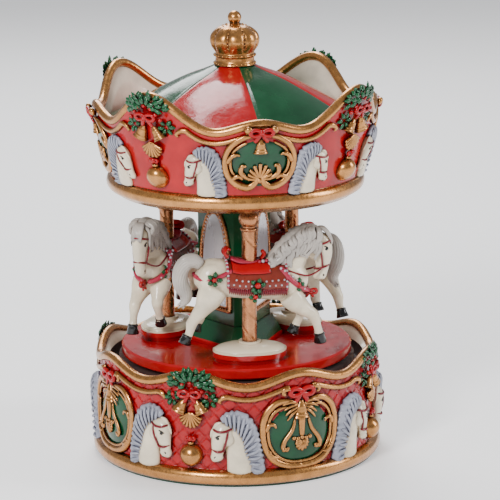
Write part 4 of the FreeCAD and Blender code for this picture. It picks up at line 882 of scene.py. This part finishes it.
def beadedFrame(k):
    # arch: straight sides, half an ellipse above and a flat sill, as two rims with beads between
    half, low, spring, top = frames["half"], frames["low"], frames["spring"], frames["top"]
    a = np.linspace(0, np.pi, 60)
    arch = np.stack([half * np.cos(a), spring + (top - spring) * np.sin(a)], -1)
    left = np.stack([np.full(14, -half), np.linspace(spring, low, 15)[1:]], -1)
    sill = np.stack([np.linspace(-half, half, 18)[1:], np.full(17, low)], -1)
    right = np.stack([np.full(13, half), np.linspace(low, spring, 15)[1:-1]], -1)
    line = np.concatenate([arch, left, sill, right])
    line = np.concatenate([line, np.zeros((len(line), 1))], 1)
    middle = np.array([0, (low + top) / 2, 0])
    made = [sweep(middle + (line - middle) * (1.10, 1.035, 1) + (0, 0, 0.35), frames["rim"], 10,
            closed=True), sweep(middle + (line - middle) * (0.88, 0.955, 1) + (0, 0, 0.25),
            frames["rim"] * 0.8, 10, closed=True), sweep(line + (0, 0, 0.1), 1.0, 8, closed=True, flat=0.5)]
    steps = np.cumsum(np.linalg.norm(np.roll(line, -1, 0) - line, axis=1))
    where = np.linspace(0, steps[-1], frames["beads"], endpoint=False)
    for x, y in zip(np.interp(where, steps, line[:, 0]), np.interp(where, steps, line[:, 1])):
        made.append(ball((x, y, 0.65), frames["bead"], 7))
    return onTangent(joined(made), carousel["turn"] + 60 + 120 * k, frames["stand"])


print("poles and mirrors")
for k in range(carousel["horses"]):
    name = "twisted_pole_%d" % (k + 1)
    add(name, "copper", twistedPole(k))
    build(name, "carousel", ["pole_%d" % (k + 1)])
    name = "beaded_frame_%d" % (k + 1)
    add(name, "copper", beadedFrame(k))
    build(name, "carousel", ["mirror_frame_%d" % (k + 1)])


# Horses are drawn as (forward, height, aside), where aside is away from the column.
print("horses")
horse = dict(voxel=0.42, soften=0.5, smooth=6, maneLocks=27, tailLocks=17, fringe=30)


def horseBody():
    # overlapping round-ended limbs and balls, which a voxel remesh later joins into one skin
    trunk = limb([(-19.6, 75.8, 0, 2.6, 1.0), (-17.4, 74.8, 0, 5.6, 0.98), (-12, 73.4, 0, 6.9, 0.95),
            (-4, 71.6, 0, 6.5, 0.97), (4, 71.2, 0, 6.9, 0.92), (12, 71.4, 0, 8.0, 0.78),
            (18, 70.6, 0, 6.4, 0.78), (21.6, 69.8, 0, 3.2, 0.85)], 60, 30)
    neck = limb([(9, 72.5, 0, 7.6, 0.62), (14, 77.5, 0, 6.8, 0.6), (18, 82.4, 0, 5.2, 0.66),
            (21.8, 86.2, 0, 4.1, 0.75), (25.0, 87.2, 0, 3.4, 0.8)], 44, 26)
    head = limb([(23.6, 87.2, 0, 2.9, 0.85), (26.2, 84.4, 0, 4.3, 0.72), (27.5, 80.4, 0, 3.7, 0.72),
            (27.4, 76.0, 0, 2.6, 0.82), (26.6, 72.4, 0, 2.3, 0.92), (26.1, 70.8, 0, 1.7, 0.95)], 44, 22)
    parts = [trunk, neck, head, ball((24.6, 81.6, 0), 3.2, 20, (0.9, 1.1, 0.82)),
        ball((25.2, 71.6, 0), 1.25, 14, (1.1, 0.9, 1.1))]
    for way in (-1, 1):
        parts += [ball((-14.4, 73.8, way * 3.4), 5.2, 22, (1, 1.05, 0.72)),
            ball((14.2, 71.0, way * 3.7), 4.9, 22, (1, 1.1, 0.6)),
            ball((24.7, 82.6, way * 1.9), 2.5, 16, (0.9, 1.1, 0.5)),
            ball((27.3, 83.2, way * 2.3), 1.0, 12, (1.1, 0.8, 0.8)),
            ball((26.7, 72.6, way * 1.35), 0.95, 12, (1.0, 1.2, 0.7)),
            limb([(24.2, 85.6, way * 1.7, 1.0), (24.0, 87.9, way * 2.1, 1.15), (23.6, 89.8, way * 2.2, 0.7),
                (23.5, 91.0, way * 2.1, 0.2)], 12, 10, 0.6)]
    legs = (((14, 66.5, 3.2, 4.8), (16.8, 63.3, 3.7, 4.2), (19.4, 61.0, 4.0, 3.0), (22.4, 58.8, 4.0, 2.35),
            (23.4, 57.6, 4.0, 2.3), (24.5, 54.6, 4.0, 1.6), (25.2, 52.0, 4.0, 1.55),
            (25.6, 50.2, 4.0, 1.95)), ((15, 66, -3.2, 4.6), (18.0, 63, -3.7, 3.6), (20.2, 60.4, -4, 2.4),
            (20.5, 58.6, -4, 2.3), (19.6, 55.4, -4, 1.55), (18.4, 53.0, -4, 1.55), (17.8, 51.6, -4, 1.9)),
        ((-13.2, 70.5, 3.2, 5.4), (-16.0, 65.8, 3.7, 4.7), (-18.4, 62.2, 3.9, 3.1),
            (-21.4, 58.4, 3.9, 2.15), (-22.3, 57.0, 3.9, 2.1), (-23.0, 54.0, 3.9, 1.55),
            (-23.6, 52.6, 3.9, 1.6), (-24.0, 51.6, 3.9, 1.9)), ((-12.4, 70, -3.2, 5.2),
            (-14.6, 65.0, -3.7, 4.2), (-16.7, 61.6, -3.9, 2.7), (-17.9, 58.2, -3.9, 2.0),
            (-18.0, 57.0, -3.9, 2.0), (-18.6, 55.2, -3.9, 1.55), (-19.0, 54.4, -3.9, 1.8)))
    return joined(parts + [limb(leg, 52, 18) for leg in legs])


def hoof(top, foot, radius=2.0):
    # small cone with a rolled top edge, cut square at the ground
    a, b = np.asarray(top, float), np.asarray(foot, float)
    s = np.array([0, 0.08, 0.16, 0.3, 0.9, 1.0])[:, None]
    r = np.array([0.75, 1.0, 0.96, 0.92, 1.22, 1.1]) * radius
    return sweep(a + (b - a) * s, r, 18)


def hair(start, drop, sway, reach, radius):
    # one lock: falls from the crest in a lazy S and ends in a curl
    a, b, c = start
    return [(a, b, c * 0.35, radius * 0.7), (a + sway, b - drop * 0.25, c, radius),
        (a + sway * 0.4, b - drop * 0.6, c * 1.06, radius * 0.95),
        (a + sway * 1.3 + reach, b - drop * 0.92, c, radius * 0.6),
        (a + reach * 1.6, b - drop, c * 0.92, radius * 0.25)]


def horseMane():
    # locks in two layers down both sides of a fluted crest, and a forelock
    crest = spline([(7.6, 79.8, 0), (11.6, 83.6, 0), (15.6, 87.4, 0), (19.4, 90.2, 0), (23.4, 91.2, 0),
            (26.2, 90.2, 0)], horse["maneLocks"])
    r = np.random.default_rng(21)
    body = limb([(7.2, 78.6, 0, 1.6, 1.3), (11.2, 82.0, 0, 2.4, 1.15), (15.2, 85.8, 0, 2.7, 1.1),
            (19.2, 88.6, 0, 2.5, 1.05), (23.2, 89.6, 0, 2.1, 1.1), (25.8, 89.0, 0, 1.5, 1.1)], 50, 20,
        ripple=1 + 0.09 * np.abs(np.sin(np.linspace(0, 40, 50)))[:, None] * np.ones((1, 20)))
    parts = [body]
    for k, (a, b, _) in enumerate(crest):
        for way in (-1, 1):
            for layer in range(2):
                drop = (9.2 if layer else 5.6) * r.uniform(0.75, 1.2)
                reach = -1.3 + 0.5 * layer + r.uniform(-1.3, 1.1)
                c = way * (3.1 + 0.7 * (1 - layer) + 0.9 * np.sin(np.pi * k / horse["maneLocks"]))
                parts.append(limb(hair((a + r.uniform(-0.4, 0.4), b - 0.6 * layer, c), drop,
                        r.uniform(-2.0, 0.5), reach, 0.95), 18, 8, 0.8))
    for k in range(7):
        way = -1 + 2 * k / 6
        parts.append(limb([(25.4, 90.2, way * 0.9, 0.6), (28.2, 89.6, way * 1.5, 0.8),
                (30.1, 86.6, way * 1.7, 0.7), (30.3 + 0.5 * abs(way), 83.8, way * 1.5, 0.25)], 14, 8, 0.8))
    return joined(parts)


def horseTail():
    # locks twisted round an arched core
    main = [(-17.6, 77.2, 0, 1.6), (-19.6, 79.4, 0, 2.1), (-22.4, 79.8, 0, 2.3), (-24.9, 77.6, 0, 2.4),
        (-25.9, 73.6, 0, 2.4), (-24.9, 69.8, 0, 2.3), (-23.6, 67.0, 0, 1.9), (-24.3, 64.4, 0, 1.2),
        (-26.0, 63.2, 0, 0.5)]
    parts = [limb(main, 54, 20, 1.0)]
    for k in range(horse["tailLocks"]):
        a = 2 * np.pi * k / horse["tailLocks"]
        rows = spline(main, 12)
        spread = rows[:, 3] * 0.88
        twist = a + np.linspace(0, 2.6, 12)
        outward = unit(np.stack([-np.gradient(rows[:, 1]), np.gradient(rows[:, 0]), np.zeros(12)], -1))
        line = rows[:, :3] + outward * (spread * np.cos(twist))[:, None]
        line[:, 2] += spread * np.sin(twist)
        line[-1] += np.array([0.9 * np.cos(3 * a), -0.6 - 0.5 * np.sin(5 * a), 0.5 * np.sin(2 * a)])
        radius = np.interp(np.linspace(0, 1, 12), [0, 0.2, 0.8, 1], [0.5, 0.85, 0.75, 0.25])
        parts.append(limb(np.column_stack([line, radius]), 40, 8))
    return joined(parts)


def trunkAt(s):
    # height and radii of the trunk, for cloth and straps that lie on it
    rows = np.array([(-19.6, 75.8, 2.6, 2.6), (-17.4, 74.8, 5.6, 5.5), (-12, 73.4, 6.9, 6.6),
            (-4, 71.6, 6.5, 6.3), (4, 71.2, 6.9, 6.35), (12, 71.4, 8.0, 6.3), (18, 70.6, 6.4, 5.0),
            (21.6, 69.8, 3.2, 2.7)])
    return [np.interp(s, rows[:, 0], rows[:, k]) for k in (1, 2, 3)]


def drape(first, last, reach, lift, flute=0.0, rows=46, cols=52, thick=0.9):
    # cloth over the back: an arc across, carried along the trunk, closed underneath
    s = np.linspace(first, last, rows)[:, None]
    a = np.radians(np.linspace(-reach, reach, cols))[None, :]
    z, up, wide = [x[:, None] for x in trunkAt(s[:, 0])]
    low = np.maximum(np.abs(a) - 0.6, 0)
    wave = flute * low * np.sin(5.2 * s + 0.4)
    outer = lift + wave + 0.35 * low
    points = np.stack([np.broadcast_to(s, (rows, cols)) + 0.5 * low * np.sign(s - (first + last) / 2)
            * (flute > 0), z + (up + outer) * np.cos(a), (wide + outer) * np.sin(a)], -1)
    inner = points - thick * unit(points - np.stack([np.broadcast_to(s, (rows, cols)),
            np.broadcast_to(z, (rows, cols)), np.zeros((rows, cols))], -1))
    loop = np.concatenate([points, inner[:, ::-1]], 1)
    return ringCaps(gridMesh(loop, closeColumns=True), rows, 2 * cols)


def horseTack():
    # blanket, saddle, fringe, straps, beads, holly, bridle, eyes and hooves
    made = {}

    def put(finish, mesh):
        made.setdefault(finish, []).append(mesh)

    def bead(finish, s, degrees, lift, size, sides):
        # a ball on the trunk, at an angle from its top line
        z, up, wide = trunkAt(s)
        a = np.radians(degrees)
        put(finish, ball((s, z + (up + lift) * np.cos(a), (wide + lift) * np.sin(a)), size, sides))

    put("blanket", drape(-9.0, 12.8, 104, 0.55, 0.10))
    put("crimson", drape(-7.2, 6.8, 60, 1.25, 0.0, 30, 36, 0.9))
    for s in (-9.1, 12.9):
        for k in range(33):
            bead("silver" if k % 2 else "rose", s, -104 + 208 * k / 32, 0.9, 0.52, 8)
    for way in (-1, 1):
        for k in range(horse["fringe"]):
            s = -8.6 + 21.2 * k / (horse["fringe"] - 1)
            z, up, wide = trunkAt(s)
            a = np.radians(104)
            b, c = z + (up + 0.7) * np.cos(a), way * (wide + 0.75) * np.sin(a)
            put("strap", limb([(s, b + 0.4, c, 0.3), (s + 0.1, b - 1.0, c * 1.02, 0.42),
                    (s, b - 2.6, c, 0.22)], 8, 6))
        for row in range(2):
            for k in range(9):
                s = -7.0 + 17.8 * k / 8
                z, up, wide = trunkAt(s)
                a = np.radians(94 - 13 * row)
                put("silver", ball((s + row, z + (up + 1.0) * np.cos(a), way * (wide + 0.85) * np.sin(a)),
                        0.42, 7))
        put("rose", limb([(-7, 76.8, way * 5.4, 0.8), (-13, 74.6, way * 6.9, 0.9),
                (-18.0, 73.6, way * 5.0, 0.85), (-20.8, 74.6, way * 1.2, 0.8)], 26, 9))
        put("rose", limb([(10.4, 77.4, way * 5.2, 0.9), (14.6, 72.4, way * 6.6, 1.05),
                (19.4, 68.4, way * 4.6, 1.0), (22.3, 66.9, way * 0.8, 0.9)], 26, 9))
        for k in range(7):
            f = k / 6
            put("silver", ball((10.6 + 9.0 * f, 77.0 - 8.6 * f + 1.0 * np.sin(3 * f),
                    way * (6.6 + 0.8 * np.sin(np.pi * f) - 1.4 * f)), 0.5, 8))
        for k in range(6):
            f = k / 5
            put("silver" if k % 2 else "rose", ball((3.4 + 6.2 * f, 78.9 + 1.2 * f, way * (2.8 + 1.2 * f)),
                    0.72, 9))
        for place, count, reach, seed, size in (((1.6, 71.2, 7.5), 5, 0.7, 5, 2.6),
                ((0.8, 67.0, 7.5), 4, 0.5, 6, 2.2), ((-14.4, 74.0, 7.5), 5, 0.6, 8, 2.5),
                ((17.2, 70.3, 5.5), 5, 0.6, 9, 2.2)):
            holly = sprig(place, count, reach, seed, size)
            put("leaf", holly if way > 0 else mirrored(holly, (1, 1, -1)))
        for place, size in (((1.7, 71.3, 8.4), 1.15), ((0.9, 67.0, 8.2), 0.9), ((-14.4, 74.1, 8.2), 0.85),
                ((17.2, 70.4, 6.3), 1.0)):
            put("crimson", ball((place[0], place[1], way * place[2]), size, 12))
        put("strap", limb([(24.4, 86.0, way * 2.6, 0.34), (26.4, 80.6, way * 3.1, 0.36),
                (27.0, 75.4, way * 2.35, 0.34)], 18, 7))
        put("strap", limb([(27.0, 75.4, way * 2.45, 0.34), (20.8, 73.4, way * 4.9, 0.36),
                (12.0, 76.4, way * 5.6, 0.36)], 20, 7))
        put("black", ball((28.4, 82.6, way * 2.55), 0.78, 12, (1.0, 0.85, 0.55)))
        put("black", limb([(27.2, 83.6, way * 2.75, 0.12), (28.2, 83.5, way * 3.0, 0.22),
                (29.2, 82.9, way * 2.7, 0.12)], 10, 6))
        put("black", ball((27.5, 72.6, way * 1.95), 0.42, 8, (0.8, 1.2, 0.6)))
    for z, half, depth, lean in ((84.6, 3.25, 4.1, 26.6), (75.6, 2.45, 2.75, 27.1)):
        a = np.linspace(0, 2 * np.pi, 40, endpoint=False)
        put("strap", sweep(np.stack([lean + depth * np.cos(a), z + 0.24 * depth * np.cos(a),
                half * np.sin(a)], -1), 0.38, 8, closed=True, out=(0, 1, 0)))
    put("crimson", limb([(-8.2, 81.0, 0, 0.9, 4.0), (-9.5, 82.6, 0, 0.8, 4.6), (-8.6, 84.0, 0, 0.7, 4.4),
            (-7.2, 83.4, 0, 0.6, 3.8)], 26, 16))
    put("rose", limb([(-7.6, 80.6, 0, 0.7, 4.4), (-4.4, 79.3, 0, 0.9, 4.4), (0, 78.8, 0, 0.8, 4.2),
            (3.4, 78.9, 0, 0.6, 3.4)], 26, 16))
    put("crimson", limb([(4.2, 79.2, 0, 0.7, 2.6), (5.6, 81.2, 0, 0.8, 2.4), (4.6, 82.6, 0, 0.7, 2.0)], 18,
            12))
    put("crimson", moved(bow(2.6, 0.6), (22.6, 66.4, 0.0)))
    for top, foot, size in (((25.5, 51.4, 4), (25.9, 47.5, 4), 2.0),
            ((18.0, 52.8, -4), (17.0, 49.5, -4), 1.95), ((-23.8, 53.0, 3.9), (-25.0, 49.6, 3.9), 2.0),
            ((-18.8, 55.6, -3.9), (-19.8, 52.4, -3.9), 1.95)):
        put("black", hoof(top, foot, size))
    return {finish: joined(meshes) for finish, meshes in made.items()}


body, mane, tail, tack = horseBody(), horseMane(), horseTail(), horseTack()
for k in range(carousel["horses"]):
    bearing = carousel["turn"] + 120 * k
    name = "leaping_horse_%d" % (k + 1)
    add(name, "cream", onTangent(body, bearing, carousel["horseCircle"]))
    made = build(name, "carousel", ["horse_%d" % (k + 1)])
    skin = made.modifiers.new("skin", "REMESH")
    skin.mode = "VOXEL"
    skin.voxel_size = horse["voxel"] * mm
    skin.use_smooth_shade = True
    soft = made.modifiers.new("soft", "SMOOTH")
    soft.factor = horse["soften"]
    soft.iterations = horse["smooth"]
    name = "horse_hair_%d" % (k + 1)
    for mesh in (mane, tail):
        add(name, "mane", onTangent(mesh, bearing, carousel["horseCircle"]))
    build(name, "carousel")
    name = "horse_tack_%d" % (k + 1)
    for finish, mesh in tack.items():
        add(name, finish, onTangent(mesh, bearing, carousel["horseCircle"]))
    build(name, "carousel")


# CAD nodes that stay get their finishes.
print("cad finishes")
bySlot = dict(red_resin="crimsonFlat", green_resin="green", gold_paint="gold", cream_paint="cream",
    roof_paint="crimsonFlat", pole_brass="copper", brass="brass", plated_steel="zinc", spring_steel="steel",
    white_nylon="nylon", mirror_glass="mirror", felt="felt", fibreboard="fibre")
byName = dict(pedestal="pedestalPaint", column="columnPaint")
for row in frame["record"]["subparts"]:
    owned = frame["nodes"][row["node"]]
    owned.data.materials.clear()
    finish = byName.get(row["node"].rstrip("_0123456789"), bySlot[row["material_slot"]])
    owned.data.materials.append(materials[finish])


print("stage")


# The floor's size is in metres, and a light has a place, a size in metres and a power.
studio = dict(floor=3, floorColor=(0.95, 0.95, 0.955, 1), glow=(0.97, 0.97, 1.0, 1), glowStrength=0.35,
    sky=(0.95, 0.97, 1.0, 1), skyStrength=0.36, lights=dict(keyLight=((-0.75, -0.55, 0.60), (0.22, 0.30),
        11), fillLight=((0.75, -0.45, 0.45), (0.25, 0.5), 5), topLight=((0.1, 0.45, 0.85), (0.3, 0.3), 4),
        backLight=((0.3, 0.8, 0.6), (0.5, 0.4), 4)))


def stage():
    # plain pale floor and an even sky
    floor = bpy.data.meshes.new("floor")
    far = studio["floor"]
    floor.from_pydata([(-far, -far, 0), (far, -far, 0), (far, far, 0), (-far, far, 0)], [], [(0, 1, 2, 3)])
    made = bpy.data.objects.new("floor", floor)
    material, _, shader = newMaterial("paleFloor")
    shader.inputs["Base Color"].default_value = studio["floorColor"]
    shader.inputs["Roughness"].default_value = 0.55
    shader.inputs["Emission Color"].default_value = studio["glow"]
    shader.inputs["Emission Strength"].default_value = studio["glowStrength"]
    floor.materials.append(material)
    bpy.context.collection.objects.link(made)
    world = bpy.data.worlds.new("studio")
    world.use_nodes = True
    sky = world.node_tree.nodes["Background"]
    sky.inputs["Color"].default_value = studio["sky"]
    sky.inputs["Strength"].default_value = studio["skyStrength"]
    bpy.context.scene.world = world


def areaLight(name, place, size, power):
    # points at the object's middle
    data = bpy.data.lights.new(name, "AREA")
    data.shape = "RECTANGLE"
    data.size, data.size_y = size
    data.energy = power
    made = bpy.data.objects.new(name, data)
    made.location = place
    aim = Vector((0, 0, 0.08)) - Vector(place)
    made.rotation_euler = aim.to_track_quat("-Z", "Y").to_euler()
    bpy.context.collection.objects.link(made)


def takeView():
    # the camera stands at a bearing and looks down, a little aside and rolled
    turn = np.radians(camera["turn"])
    down, aside = camera["down"], camera["aside"]
    forward = Vector((np.sin(aside) * np.cos(down), np.cos(aside) * np.cos(down), -np.sin(down)))
    forward = Matrix.Rotation(turn, 3, "Z") @ forward
    data = bpy.data.cameras.new("camera")
    data.lens = camera["lens"]
    data.sensor_width = 36
    data.clip_start = 0.01
    made = bpy.data.objects.new("camera", data)
    made.location = (camera["distance"] * mm * np.sin(turn), -camera["distance"] * mm * np.cos(turn),
        camera["height"] * mm)
    made.rotation_euler = (forward.to_track_quat("-Z", "Y").to_matrix() @ Matrix.Rotation(camera["roll"], 3,
            "Z")).to_euler()
    bpy.context.collection.objects.link(made)
    bpy.context.scene.camera = made


stage()
takeView()
for name, light in studio["lights"].items():
    areaLight(name, *light)
